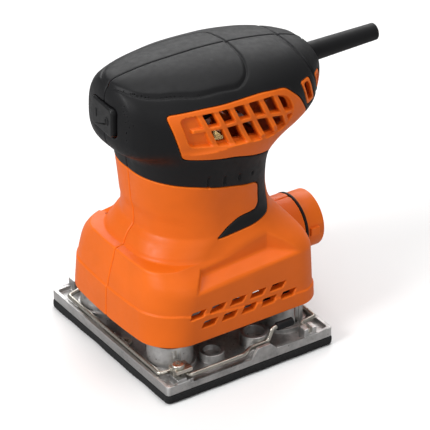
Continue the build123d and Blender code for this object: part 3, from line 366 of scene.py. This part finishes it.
def make_materials():
    """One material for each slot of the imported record."""
    return {
        # Each material's edge factor sets how much lighter its convex edges are painted: rubbed wear and a
        # painted highlight.
        "orange_plastic": moulded("orange_plastic", ORANGE, 0.42, specular_ior_level=0.26),
        "grip_rubber": moulded("grip_rubber", BLACK, 0.48, 0.3, 0.03, 1.8, specular_ior_level=0.21),
        "black_plastic": moulded("black_plastic", tinted(BLACK, 0.8), 0.40, wear_and_highlight=1.7, specular_ior_level=0.3),
        "post_rubber": moulded("post_rubber", tinted(BLACK, 1.6), 0.6, wear_and_highlight=1.4, specular_ior_level=0.3),
        "yellow_plastic": moulded("yellow_plastic", (0.65, 0.40, 0.03), 0.4),
        "carbon": moulded("carbon", (0.03, 0.03, 0.032), 0.45, grain=0.5),
        "cast_aluminium": cast_metal(),
        "steel": drawn_metal("steel", (0.55, 0.52, 0.46), 0.3, DRAWN_ALONG_X),
        "brass": drawn_metal("brass", (0.72, 0.50, 0.20)),
        "copper": wound_copper(),
        "lamination_steel": laminations(),
        "foam": sponge("foam", (0.016, 0.016, 0.017)),
    }


materials = make_materials()


def paint_piece(piece, slot):
    """Give a piece one material, in place of any it came with."""
    piece.data.materials.clear()
    piece.data.materials.append(materials[slot])


# Rounded edge of each hard part that shows, in millimetres
EDGE_WIDTH = {
    "platen": 0.35,
    "switch_rocker": 0.3,
    "dust_port": 0.3,
    "platen_screws": 0.12,
    "keeper_screws": 0.12,
    "front_clamp_keeper": 0.25,
    "rear_clamp_keeper": 0.25,
}


WELD_REACH = 0.005
SHARP_ANGLE = math.radians(40)


def paint_cad_nodes():
    """Each CAD node takes the material of its slot, and hard parts get small rounded edges."""
    for row in frame["record"]["subparts"]:
        node = frame["nodes"][row["node"]]
        paint_piece(node, row["material_slot"])
        if row["node"] in EDGE_WIDTH:
            weld = node.modifiers.new("weld", "WELD")
            weld.merge_threshold = WELD_REACH * MM
            bevel = node.modifiers.new("bevel", "BEVEL")
            bevel.width = EDGE_WIDTH[row["node"]] * MM
            bevel.segments = 2
            bevel.limit_method = "ANGLE"
            bevel.angle_limit = SHARP_ANGLE
            bevel.use_clamp_overlap = False


# ---------------------------------------------------------------- distance-field tools
def smooth_min(a, b, k):
    """Union of two fields with a blend of about k millimetres."""
    h = np.clip(0.5 + 0.5 * (b - a) / k, 0, 1)
    return b + (a - b) * h - k * h * (1 - h)


def smooth_max(a, b, k):
    """Intersection of two fields with a rounded edge of about k millimetres."""
    return -smooth_min(-a, -b, k)


def ease(t):
    """0 below 0, 1 above 1 and a smooth step between."""
    t = np.clip(t, 0, 1)
    return t * t * (3 - 2 * t)


def smooth_curve(knots, values, samples=800):
    """A function through the knots that never overshoots them (Fritsch-Carlson cubic)."""
    x, y = np.array(knots, float), np.array(values, float)
    h, d = np.diff(x), np.diff(y) / np.diff(x)
    slope = np.zeros(len(x))
    slope[0], slope[-1] = d[0], d[-1]
    for i in range(1, len(x) - 1):
        if d[i - 1] * d[i] > 0:
            a, b = 2 * h[i] + h[i - 1], h[i] + 2 * h[i - 1]
            slope[i] = (a + b) / (a / d[i - 1] + b / d[i])
    fine = np.linspace(x[0], x[-1], samples)
    i = np.clip(np.searchsorted(x, fine) - 1, 0, len(x) - 2)
    t = (fine - x[i]) / h[i]
    out = (
        (1 + 2 * t) * (1 - t) ** 2 * y[i]
        + t * (1 - t) ** 2 * h[i] * slope[i]
        + t * t * (3 - 2 * t) * y[i + 1]
        + t * t * (t - 1) * h[i] * slope[i + 1]
    )
    return lambda q: np.interp(q, fine, out)


def rounded(points, radius, steps=5):
    """A closed outline with its corners rounded by an arc-like curve of about that radius."""
    points = [np.array(p, float) for p in points]
    out = []
    for i, p in enumerate(points):
        before, after = points[i - 1] - p, points[(i + 1) % len(points)] - p
        reach = min(radius, 0.45 * np.linalg.norm(before), 0.45 * np.linalg.norm(after))
        a = p + before / np.linalg.norm(before) * reach
        b = p + after / np.linalg.norm(after) * reach
        for s in np.linspace(0, 1, steps):
            out.append((1 - s) ** 2 * a + 2 * s * (1 - s) * p + s * s * b)
    return np.array(out)


class Outline:
    """Signed distance to a closed outline in a plane, negative inside, kept as a table."""

    SPACING = 0.5
    MARGIN = 12.0

    def __init__(self, points):
        low, high = points.min(0) - self.MARGIN, points.max(0) + self.MARGIN
        self.u = np.arange(low[0], high[0], self.SPACING)
        self.v = np.arange(low[1], high[1], self.SPACING)
        u, v = self.u[:, None], self.v[None, :]
        distance = np.full((len(self.u), len(self.v)), 1e9)
        inside = np.zeros(distance.shape, bool)
        for a, b in zip(points, np.roll(points, -1, axis=0)):
            edge = b - a
            share = np.clip(((u - a[0]) * edge[0] + (v - a[1]) * edge[1]) / max(edge @ edge, 1e-9), 0, 1)
            distance = np.minimum(distance, np.hypot(u - a[0] - share * edge[0], v - a[1] - share * edge[1]))
            if abs(edge[1]) > 1e-9:
                crosses = (a[1] > v) != (b[1] > v)
                inside ^= crosses & (u < a[0] + (v - a[1]) * edge[0] / edge[1])
        self.table = np.where(inside, -distance, distance)

    def __call__(self, u, v):
        """Distance at points, far points clamped to the table's border."""
        i = np.clip((u - self.u[0]) / self.SPACING, 0, len(self.u) - 1.001)
        j = np.clip((v - self.v[0]) / self.SPACING, 0, len(self.v) - 1.001)
        i0, j0 = i.astype(int), j.astype(int)
        a, b = i - i0, j - j0
        t = self.table
        return (
            t[i0, j0] * (1 - a) * (1 - b)
            + t[i0 + 1, j0] * a * (1 - b)
            + t[i0, j0 + 1] * (1 - a) * b
            + t[i0 + 1, j0 + 1] * a * b
        )


def rectangle(u, v, half_u, half_v, radius):
    """Signed distance to a rounded rectangle about the origin."""
    a, b = np.abs(u) - half_u + radius, np.abs(v) - half_v + radius
    return np.hypot(np.maximum(a, 0), np.maximum(b, 0)) + np.minimum(np.maximum(a, b), 0) - radius


CELL_CORNERS = np.array([(i, j, k) for i in (0, 1) for j in (0, 1) for k in (0, 1)])
CELL_EDGES = [
    (a, b) for a in range(8) for b in range(a + 1, 8) if np.abs(CELL_CORNERS[a] - CELL_CORNERS[b]).sum() == 1
]


def gradient(field, p, reach):
    """Central differences of a field at points."""
    out = np.empty_like(p)
    for axis in range(3):
        step = np.zeros(3)
        step[axis] = reach
        ahead, behind = p + step, p - step
        out[:, axis] = (field(*ahead.T) - field(*behind.T)) / (2 * reach)
    return out


SETTLE_ROUNDS = 4
SETTLE_REACH = 0.08
NORMAL_REACH = 0.12
SETTLE_SHARE = 0.3


def surface_of(field, low, high, step):
    """Points, outward normals and quads of a field's zero surface, by surface nets."""
    axes = [np.arange(a, b + step, step) for a, b in zip(low, high)]
    x, y, z = axes[0][:, None, None], axes[1][None, :, None], axes[2][None, None, :]
    grid = np.broadcast_to(field(x, y, z), [len(a) for a in axes])
    values = np.ascontiguousarray(grid).astype(np.float32)
    inside = values < 0
    cells_x, cells_y, cells_z = (len(a) - 1 for a in axes)
    count = sum(
        inside[i : i + cells_x, j : j + cells_y, k : k + cells_z].astype(np.int8)
        for i, j, k in CELL_CORNERS
    )
    cells = np.argwhere((count > 0) & (count < 8))
    number = np.full(count.shape, -1, np.int32)
    number[tuple(cells.T)] = np.arange(len(cells))
    corner = np.stack([values[tuple((cells + c).T)] for c in CELL_CORNERS], 1)
    total, hits = np.zeros((len(cells), 3)), np.zeros(len(cells))
    for a, b in CELL_EDGES:
        fa, fb = corner[:, a], corner[:, b]
        mixed = (fa < 0) != (fb < 0)
        share = np.where(mixed, fa / np.where(mixed, fa - fb, 1), 0)
        point = CELL_CORNERS[a] + share[:, None] * (CELL_CORNERS[b] - CELL_CORNERS[a])
        total += point * mixed[:, None]
        hits += mixed
    points = np.array(low) + (cells + total / hits[:, None]) * step

    quads = []
    for axis in range(3):
        side_a, side_b = (axis + 1) % 3, (axis + 2) % 3
        first = [slice(None)] * 3
        second = [slice(None)] * 3
        first[axis], second[axis] = slice(0, -1), slice(1, None)
        flips = inside[tuple(first)] != inside[tuple(second)]
        edges = np.argwhere(flips)
        keep = np.ones(len(edges), bool)
        for side in (side_a, side_b):
            keep &= (edges[:, side] > 0) & (edges[:, side] < count.shape[side])
        edges = edges[keep]
        around = []
        for da, db in ((-1, -1), (0, -1), (0, 0), (-1, 0)):
            cell = edges.copy()
            cell[:, side_a] += da
            cell[:, side_b] += db
            around.append(number[tuple(cell.T)])
        quad = np.stack(around, 1)
        out_of_solid = inside[tuple(edges.T)]
        quads.append(np.where(out_of_solid[:, None], quad, quad[:, ::-1]))
    quads = np.concatenate(quads)

    for _ in range(SETTLE_ROUNDS):
        slope = gradient(field, points, SETTLE_REACH)
        size = np.maximum((slope * slope).sum(1), 0.05)
        move = -field(*points.T)[:, None] * slope / size[:, None]
        length = np.linalg.norm(move, axis=1)[:, None]
        points += move * np.minimum(1, SETTLE_SHARE * step / np.maximum(length, 1e-9))
    normals = gradient(field, points, NORMAL_REACH)
    normals /= np.maximum(np.linalg.norm(normals, axis=1)[:, None], 1e-9)
    return points, normals, quads


def add_mesh(name, points, quads, normals=None):
    """A smooth-shaded Blender mesh from millimetre points."""
    mesh = bpy.data.meshes.new(name)
    mesh.vertices.add(len(points))
    mesh.vertices.foreach_set("co", (points * MM).astype(np.float32).ravel())
    mesh.loops.add(quads.size)
    mesh.loops.foreach_set("vertex_index", quads.astype(np.int32).ravel())
    mesh.polygons.add(len(quads))
    mesh.polygons.foreach_set("loop_start", np.arange(0, quads.size, 4, dtype=np.int32))
    mesh.update(calc_edges=True)
    mesh.validate()
    mesh.polygons.foreach_set("use_smooth", np.ones(len(mesh.polygons), bool))
    if normals is not None and len(mesh.vertices) == len(normals):
        mesh.normals_split_custom_set_from_vertices(normals.astype(float).tolist())
    piece = bpy.data.objects.new(name, mesh)
    bpy.context.scene.collection.objects.link(piece)
    return piece


def field_piece(name, field, low, high, step):
    """A Blender mesh of a field's zero surface."""
    points, normals, quads = surface_of(field, low, high, step)
    return add_mesh(name, points, quads, normals)


# ---------------------------------------------------------------- outer form of the shells
# Head: stations along x, with the underside, widest height, top and half width at each
HEAD_X = [-69, -57, -40, -20, 0, 20, 40, 47, 50.5]
HEAD_LOW = smooth_curve(HEAD_X, [130, 119.5, 115.5, 115, 115, 116, 119, 122, 126])
HEAD_MID = smooth_curve(HEAD_X, [140, 138, 136, 135, 134, 134, 135, 136, 137])
HEAD_TOP = smooth_curve(HEAD_X, [150.5, 155.0, 158.9, 161.3, 162.3, 162.2, 160.6, 158.9, 154.5])
HEAD_HALF = smooth_curve(HEAD_X, [16, 27.3, 35, 38.2, 38.5, 35, 27.2, 20.5, 13])
HEAD_ENDS = (-69.0, 50.5)
HEAD_END_ROUND = 4.0
TOP_POWER = 2.35
BELLY_POWER = 3.1

# Skirt and neck: stations up z, with the front, rear, half width towards each end and corner radii
BODY_Z = [20, 42, 51, 54.7, 58, 60.5, 62.6, 63.4, 66, 70, 75, 81, 88, 106, 118, 126]
BODY_FRONT = smooth_curve(
    BODY_Z,
    [51.6, 50.8, 49.0, 48.0, 47.1, 46.4, 45.8, 41.4, 40.2, 38.1, 34.6, 34.6, 35.9, 37.4, 38.9, 39.2],
)
BODY_REAR = smooth_curve(
    BODY_Z,
    [-50.4, -49.6, -49.1, -48.9, -48.2, -47.3, -46.2, -45.7, -43.9, -41.1, -38.4, -37.3, -37, -37, -38, -39],
)
BODY_HALF_FRONT = smooth_curve(
    BODY_Z, [47.4, 46.9, 46.5, 45.2, 42.4, 39.6, 37.2, 36.5, 35.6, 34.8, 34.3, 34.0, 34, 35.9, 37.3, 37.5]
)
BODY_HALF_REAR = smooth_curve(
    BODY_Z, [47.4, 46.9, 46.8, 46.7, 46.0, 45.1, 43.9, 43.4, 41.6, 38.9, 36.1, 34.6, 34, 35.9, 37.3, 37.5]
)
FRONT_CORNER = smooth_curve(BODY_Z, [18, 20, 20, 19, 17.5, 16, 15, 24, 25, 27, 28.5, 29, 30, 31, 32, 32])
REAR_CORNER = smooth_curve(BODY_Z, [13, 13, 13, 13, 14, 15.5, 17, 17.5, 20, 23.5, 27.5, 29, 30, 31, 32, 32])
# Where the widths pass from the front ones to the rear ones, and over what length
FLARE_TURN = (24.0, 52.0)
BODY_SLOPE_STEP = 0.4
BODY_TOP = 124.0
FRONT_BOW = 0.0016


def head_field(x, y, z):
    """Superellipse sections whose size follows the stations, with rounded ends."""
    low, mid, top, half = HEAD_LOW(x), HEAD_MID(x), HEAD_TOP(x), HEAD_HALF(x)
    upper = z > mid
    height = np.where(upper, top - mid, mid - low)
    power = np.where(upper, TOP_POWER, BELLY_POWER)
    a = np.maximum(np.abs(y) / half, 1e-4)
    b = np.maximum(np.abs(z - mid) / height, 1e-4)
    reach = (a**power + b**power) ** (1 / power)
    slope = np.hypot(a ** (power - 1) / half, b ** (power - 1) / height) * reach ** (1 - power)
    side = (reach - 1) / np.maximum(slope, 0.4 / np.maximum(half, height))
    side = np.clip(side, -25, 25)
    ends = np.maximum(x - HEAD_ENDS[1], HEAD_ENDS[0] - x)
    return smooth_max(side, ends, HEAD_END_ROUND)


def body_field(x, y, z):
    """Rounded rectangles whose size follows the stations; the flare is fuller towards the rear."""
    front, rear = BODY_FRONT(z), BODY_REAR(z)
    share = ease((FLARE_TURN[0] - x) / FLARE_TURN[1])
    half = BODY_HALF_FRONT(z) * (1 - share) + BODY_HALF_REAR(z) * share
    corner = FRONT_CORNER(z) * (1 - share) + REAR_CORNER(z) * share
    bowed = x + FRONT_BOW * y * y * (x > 0)
    flat = rectangle(bowed - (front + rear) / 2, y, (front - rear) / 2, half, corner)
    above, below = BODY_HALF_REAR(z + BODY_SLOPE_STEP), BODY_HALF_REAR(z - BODY_SLOPE_STEP)
    lean = (above - below) / (2 * BODY_SLOPE_STEP)
    return np.maximum(flat / np.sqrt(1 + lean * lean), z - BODY_TOP)


# Notch in each shoulder: a floor that rises inwards and to the rear, and a wall turned out at both ends
NOTCH_FLOOR_Z = 53.6
NOTCH_FLOOR_RISE = (0.075, 0.62)
NOTCH_OUTER_Y = 46.8
NOTCH_WALL_Y = 39.0
NOTCH_ENDS = ((19.7, 1.12), (-20.6, 0.49))
NOTCH_ROUND = 1.0

# Crease round the skirt: level at the front, sloping down along the side
CREASE_X = [-60, -44, 32, 36, 60]
CREASE_Z = smooth_curve(CREASE_X, [31.5, 32, 41.2, 42, 42])
CREASE_STEP = 0.75
CREASE_WIDTH = 0.9


def notch_field(x, y, z):
    """Room cut away above each notch's floor and outside its wall."""
    rise_x, rise_y = NOTCH_FLOOR_RISE
    floor = NOTCH_FLOOR_Z - rise_x * x + rise_y * (NOTCH_OUTER_Y - np.abs(y))
    above = (floor - z) / math.hypot(1, rise_x, rise_y)
    (front_x, front_slope), (rear_x, rear_slope) = NOTCH_ENDS
    wall = NOTCH_WALL_Y + np.maximum(x - front_x, 0) * front_slope + np.maximum(rear_x - x, 0) * rear_slope
    return smooth_max(above, (wall - np.abs(y)) * 0.9, NOTCH_ROUND)


NECK_BLEND_FRONT = 5.0
NECK_BLEND_REAR = 16.0
NECK_TURN = (30.0, 60.0)


def outer_field(x, y, z):
    """Outer surface of the closed machine, before any groove or opening."""
    body = body_field(x, y, z)
    body = smooth_max(body, -notch_field(x, y, z), NOTCH_ROUND)
    body = body - CREASE_STEP * ease((CREASE_Z(x) - z) / CREASE_WIDTH + 0.5)
    share = ease((NECK_TURN[0] - x) / NECK_TURN[1])
    blend = NECK_BLEND_FRONT + (NECK_BLEND_REAR - NECK_BLEND_FRONT) * share
    return smooth_min(head_field(x, y, z), body, blend)


# ---------------------------------------------------------------- outlines on the surface, side view (x, z)
# Black rubber: head cap, neck band and the hooked tail of the band
GRIP_POINTS = [
    (64, 107), (37, 107), (17, 105), (0, 101), (-17, 97), (-20.5, 94), (-20.5, 84),
    (-18, 81.4), (-7, 81), (0, 77.5), (8, 72), (-20, 75), (-27, 75.5), (-30, 79),
    (-30, 106), (-27, 112.5), (-2, 119.3), (25.6, 122.8), (33, 147.8), (12.8, 148.4), (-20, 148.2),
    (-34.5, 146.4), (-43.3, 138.5), (-50.5, 127), (-57, 110), (-84, 110), (-84, 178), (64, 178),
]
GRIP = Outline(rounded(GRIP_POINTS, 2.8))
GRIP_THICK = 1.5
GRIP_PROUD = 0.12
JOINT_GAP = 0.12

# Air grille in the cheek of the head: a pocket crossed by leaning bars and one level bar
POCKET_POINTS = [
    (26.5, 145.4), (0, 145.6), (-28, 144.6), (-35.5, 141.3), (-38.8, 133),
    (-33.5, 126.3), (-22, 125.2), (0, 127.6), (22.4, 130),
]
POCKET = Outline(rounded(POCKET_POINTS, 3.2))
POCKET_DEPTH = 2.4
POCKET_RIM = 1.0
BAR_SINK = 0.5
BAR_X = 12.9
BAR_Z = 137.0
BAR_LEAN = 0.41
BAR_PITCH = 8.66
BAR_COUNT = 6
BAR_HALF = 1.5
LEVEL_BAR_HALF = 1.15
LEVEL_BAR_END = 21.0
LEVEL_BAR_Z = smooth_curve([-45, -37, -10, 13, 30], [130.5, 132.6, 137.2, 137.8, 138])

# Two small framed slots behind the grille: centre, half width, half height and lean
TAIL_SLOTS = [(-51.5, 137.5, 3.6, 7.4, 0.35), (-62.5, 138.0, 2.6, 5.4, 0.35)]
TAIL_SLOT_ROUND = 1.4
TAIL_FRAME = 1.7

# Dust vents low on each side of the skirt: height and first place of each row
VENT_PITCH = 12.2
VENT_HALF = (4.1, 1.75)
VENT_ROUND = 0.5
VENT_LEAN = -0.62
VENT_ROWS = [(40.5, 26.5), (34.0, 20.0)]
VENT_COUNT = 5

# Palm panel in top view (x, y)
PALM_POINTS = [
    (48.5, 0), (47, 8), (42, 16), (34, 21.5), (13, 29), (-9, 31),
    (-16, 27), (-20, 18), (-21.5, 0), (-20, -18), (34, -21.5), (47, -8),
]
PALM = Outline(rounded(PALM_POINTS, 5))


def bars(x, z):
    """Signed distance, in side view, to the bars of the grille."""
    u = x - BAR_X - BAR_LEAN * (z - BAR_Z)
    column = np.clip(np.round(-u / BAR_PITCH), 0, BAR_COUNT - 1)
    leaning = np.abs(u + column * BAR_PITCH) / math.hypot(1, BAR_LEAN) - BAR_HALF
    level = np.maximum(np.abs(z - LEVEL_BAR_Z(x)) - LEVEL_BAR_HALF, x - LEVEL_BAR_END)
    return np.minimum(leaning, level)


def windows(x, z):
    """Signed distance, in side view, to the holes between the bars."""
    behind_first = x - BAR_X - BAR_LEAN * (z - BAR_Z)
    return np.maximum(np.maximum(POCKET(x, z) + POCKET_RIM, -bars(x, z)), behind_first)


FAR = 1e3


def vents(x, z):
    """Signed distance, in side view, to the rows of leaning dust vents."""
    best = FAR
    for row_z, first_x in VENT_ROWS:
        u = x - first_x - VENT_LEAN * (z - row_z)
        column = np.clip(np.round(-u / VENT_PITCH), 0, VENT_COUNT - 1)
        best = np.minimum(best, rectangle(u + column * VENT_PITCH, z - row_z, *VENT_HALF, VENT_ROUND))
    return best


def tail_slots(x, z, shrink):
    """Signed distance to the framed slots, made smaller all round by shrink."""
    best = FAR
    for slot_x, slot_z, half_x, half_z, lean in TAIL_SLOTS:
        u = x - slot_x - lean * (z - slot_z)
        best = np.minimum(best, rectangle(u, z - slot_z, half_x - shrink, half_z - shrink, TAIL_SLOT_ROUND))
    return best


def grip_plan(x, y, z):
    """Signed distance, in side view, to the area that the rubber covers."""
    return smooth_max(GRIP(x, z), -tail_slots(x, z, 0), 0.4)


# Two leaning grooves round the tail of the head, and the palm panel with its groove
RING_LEAN = 0.344
RING_FOOT = (-106.3, -118.5)
RING_LOW_Z = 118.0
PALM_LOW_Z = 146.0
PALM_RISE = 0.3
PALM_EDGE = 1.6
GROOVE_HALF = 0.8
GROOVE_DEPTH = 0.75

# Four short notches on each side of the neck band
BAND_NOTCH_X = (12.0, 3.0, -6.0, -14.5)
BAND_NOTCH_Z = (102.5, 111.0)
BAND_NOTCH_RISE = 0.2
BAND_NOTCH_HALF = 0.7
BAND_NOTCH_DEPTH = 0.9

SKIRT_LOW = 24.0
SHELL_THICK = 3.2
SEAM_GAP = 0.07
SEAM_ROUND = 1.1
LINING = 0.6


def groove(across, half, depth):
    """Depth of a soft groove at a distance across it."""
    return depth * np.exp(-((across / half) ** 2))


def detailed_outer(x, y, z):
    """Outer surface with the grooves that are moulded into it."""
    surface = outer_field(x, y, z)
    top = ease((z - PALM_LOW_Z) / 2)
    palm = PALM(x, y)
    panel = groove(palm, GROOVE_HALF, GROOVE_DEPTH) - PALM_RISE * ease(0.5 - palm / PALM_EDGE)
    surface = surface + top * panel
    rear = ease((z - RING_LOW_Z) / 6)
    for foot in RING_FOOT:
        surface = surface + rear * groove(x - RING_LEAN * z - foot, GROOVE_HALF, GROOVE_DEPTH)
    low, high = BAND_NOTCH_Z
    for notch_x in BAND_NOTCH_X:
        end = high + BAND_NOTCH_RISE * (notch_x - BAND_NOTCH_X[0])
        on_band = ease((z - low) / 1.5) * ease((end - z) / 1.5)
        surface = surface + on_band * groove(x - notch_x, BAND_NOTCH_HALF, BAND_NOTCH_DEPTH)
    return surface


# ---------------------------------------------------------------- openings shared by shells and grips
switch_low, switch_high = box_mm("switch_rocker")
SWITCH_Z = (switch_low[2] + switch_high[2]) / 2
SWITCH_HALF = (11.2, 8.5)
SWITCH_ROUND = 3.4
SWITCH_BACK_X = 38.0
sleeve_low, sleeve_high = box_mm("cord_sleeve")
SLEEVE_Z = (sleeve_low[2] + sleeve_high[2]) / 2
SLEEVE_HOLE_R = 5.6
SLEEVE_HOLE_X = -58.0
seal_low, seal_high = box_mm("dust_port_seal")
PORT_Z = (seal_low[2] + seal_high[2]) / 2
COLLAR_R = (seal_high[2] - seal_low[2]) / 2 - 0.2
COLLAR_END = seal_high[0]
COLLAR_ROOT_X = -40.0
COLLAR_BORE = COLLAR_R - 3.2
DUCT_X = -42.0


def opening_field(x, y, z):
    """Rooms for the switch rocker, the cord sleeve and the dust duct."""
    switch = np.maximum(rectangle(y, z - SWITCH_Z, *SWITCH_HALF, SWITCH_ROUND), SWITCH_BACK_X - x)
    sleeve = np.maximum(np.hypot(y, z - SLEEVE_Z) - SLEEVE_HOLE_R, x - SLEEVE_HOLE_X)
    duct = np.maximum(np.hypot(y, z - PORT_Z) - COLLAR_BORE, x - DUCT_X)
    return np.minimum(np.minimum(switch, sleeve), duct)


SCREW_HOLES = [(28, 62), (-32, 62), (31, 113), (-33, 113), (14, 152), (-34, 150)]
SCREW_HOLE_R = 3.9
SCREW_HOLE_END_Y = -14.0


def screw_field(x, y, z):
    """Deep round wells of the housing screws, on the right side only."""
    best = FAR
    for hole_x, hole_z in SCREW_HOLES:
        best = np.minimum(best, np.hypot(x - hole_x, z - hole_z))
    return np.maximum(best - SCREW_HOLE_R, y - SCREW_HOLE_END_Y)


# Openings in the side walls start this far out from the middle plane
SIDE_ONLY = 12.0
POCKET_SIDE = 5.0

# Ring inside each shell that carries the motor's bearing plate
LEDGE_Z = 54.5
LEDGE_HALF = 1.5
LEDGE_BORE_R = 28.0
LEDGE_CENTRE_X = -1.0


def shell_field(x, y, z, side):
    """One moulded shell: side is +1 for the left half and -1 for the right."""
    across = y * side
    outer = detailed_outer(x, y, z)
    grip = grip_plan(x, y, z)
    depth = BAR_SINK + (POCKET_DEPTH - BAR_SINK) * ease(0.5 + bars(x, z) / 0.9)
    pocket = depth * ease(0.5 - POCKET(x, z) / 1.3)
    skin = outer + np.where(across > POCKET_SIDE, pocket, 0)
    skin = smooth_max(skin, -(smooth_max(-(outer + GRIP_THICK), grip - JOINT_GAP, 0.4)), 0.5)
    collar = np.maximum(np.hypot(y, z - PORT_Z) - COLLAR_R, np.maximum(x - COLLAR_ROOT_X, COLLAR_END - x))
    skin = smooth_min(skin, collar, 2.0)
    room = outer + SHELL_THICK + 1.2
    ledge = np.maximum(np.abs(z - LEDGE_Z) - LEDGE_HALF, LEDGE_BORE_R - np.hypot(x - LEDGE_CENTRE_X, y))
    solid = smooth_max(skin, -room, 0.3)
    solid = np.minimum(solid, np.maximum(ledge, outer + 1.0))
    through = np.minimum(np.minimum(windows(x, z), vents(x, z)), tail_slots(x, z, TAIL_FRAME))
    through = np.maximum(through, SIDE_ONLY - across)
    solid = smooth_max(solid, -through, 0.5)
    solid = smooth_max(solid, LINING - opening_field(x, y, z), 0.6)
    if side < 0:
        solid = smooth_max(solid, -screw_field(x, y, z), 0.6)
    solid = smooth_max(solid, SKIRT_LOW - z, 1.2)
    return smooth_max(solid, SEAM_GAP - across, SEAM_ROUND)


def grip_field(x, y, z, side):
    """One rubber grip: the outer skin inside the grip's outline."""
    across = y * side
    outer = detailed_outer(x, y, z) - GRIP_PROUD
    solid = smooth_max(outer, grip_plan(x, y, z) + JOINT_GAP, 0.9)
    solid = smooth_max(solid, -(outer + GRIP_THICK), 0.3)
    solid = smooth_max(solid, -opening_field(x, y, z), 0.6)
    if side < 0:
        solid = smooth_max(solid, -screw_field(x, y, z), 0.6)
    return smooth_max(solid, SEAM_GAP - across, SEAM_ROUND)


SHELL_STEP = 0.65
SHELL_MARGIN = 2.0
SEAM_MARGIN = 1.0
MOULDINGS = (("housing", shell_field, "orange_plastic"), ("grip", grip_field, "grip_rubber"))


def make_shells():
    """Both moulded shells and both rubber grips, each its own piece."""
    for name, side in (("left", 1), ("right", -1)):
        for kind, field, slot in MOULDINGS:
            low, high = box_mm(f"{name}_{kind}")
            low, high = low - SHELL_MARGIN, high + SHELL_MARGIN
            if side > 0:
                low[1] = -SEAM_MARGIN
            else:
                high[1] = SEAM_MARGIN
            one_side = partial(field, side=side)
            piece = field_piece(f"{name}_{kind}_moulding", one_side, low, high, SHELL_STEP)
            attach(piece, "housing")
            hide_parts(f"{name}_{kind}")
            paint_piece(piece, slot)


# ---------------------------------------------------------------- foam pad
pad_low, pad_high = box_mm("foam_pad")
PAD_CENTRE = (pad_low + pad_high) / 2
PAD_HALF = (pad_high - pad_low) / 2
PAD_CORNER = 2.5
PAD_BULGE = 0.55
PAD_PORE = 0.16
PAD_EDGE = 0.9
PAD_MARGIN = 1.5
PAD_STEP = 0.6


def pad_field(x, y, z):
    """Foam pad: sides that bulge a little, pitted with cut pores and not quite straight."""
    x, y, z = x - PAD_CENTRE[0], y - PAD_CENTRE[1], z - PAD_CENTRE[2]
    height = z / PAD_HALF[2]
    bulge = PAD_BULGE * (1 - height * height)
    sway = 0.18 * np.sin(x / 7.3 + 0.8) * np.sin(y / 9.1) + 0.12 * np.sin((x - y) / 3.7)
    pores = np.sin(2.9 * x + 1.3 * np.sin(1.7 * z)) * np.sin(3.1 * y + np.sin(2.2 * z))
    pores = pores * np.sin(3.3 * z + x + y)
    side = rectangle(x, y, PAD_HALF[0], PAD_HALF[1], PAD_CORNER) - bulge - sway + PAD_PORE * pores
    return smooth_max(side, np.abs(z) - PAD_HALF[2], PAD_EDGE)


def make_pad():
    """The foam pad as its own piece, in place of the plain solid."""
    piece = field_piece("foam_pad_cushion", pad_field, pad_low - PAD_MARGIN, pad_high + PAD_MARGIN, PAD_STEP)
    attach(piece, "platen")
    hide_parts("foam_pad")
    paint_piece(piece, "foam")


make_camera()
make_studio()
paint_cad_nodes()
make_shells()
make_pad()
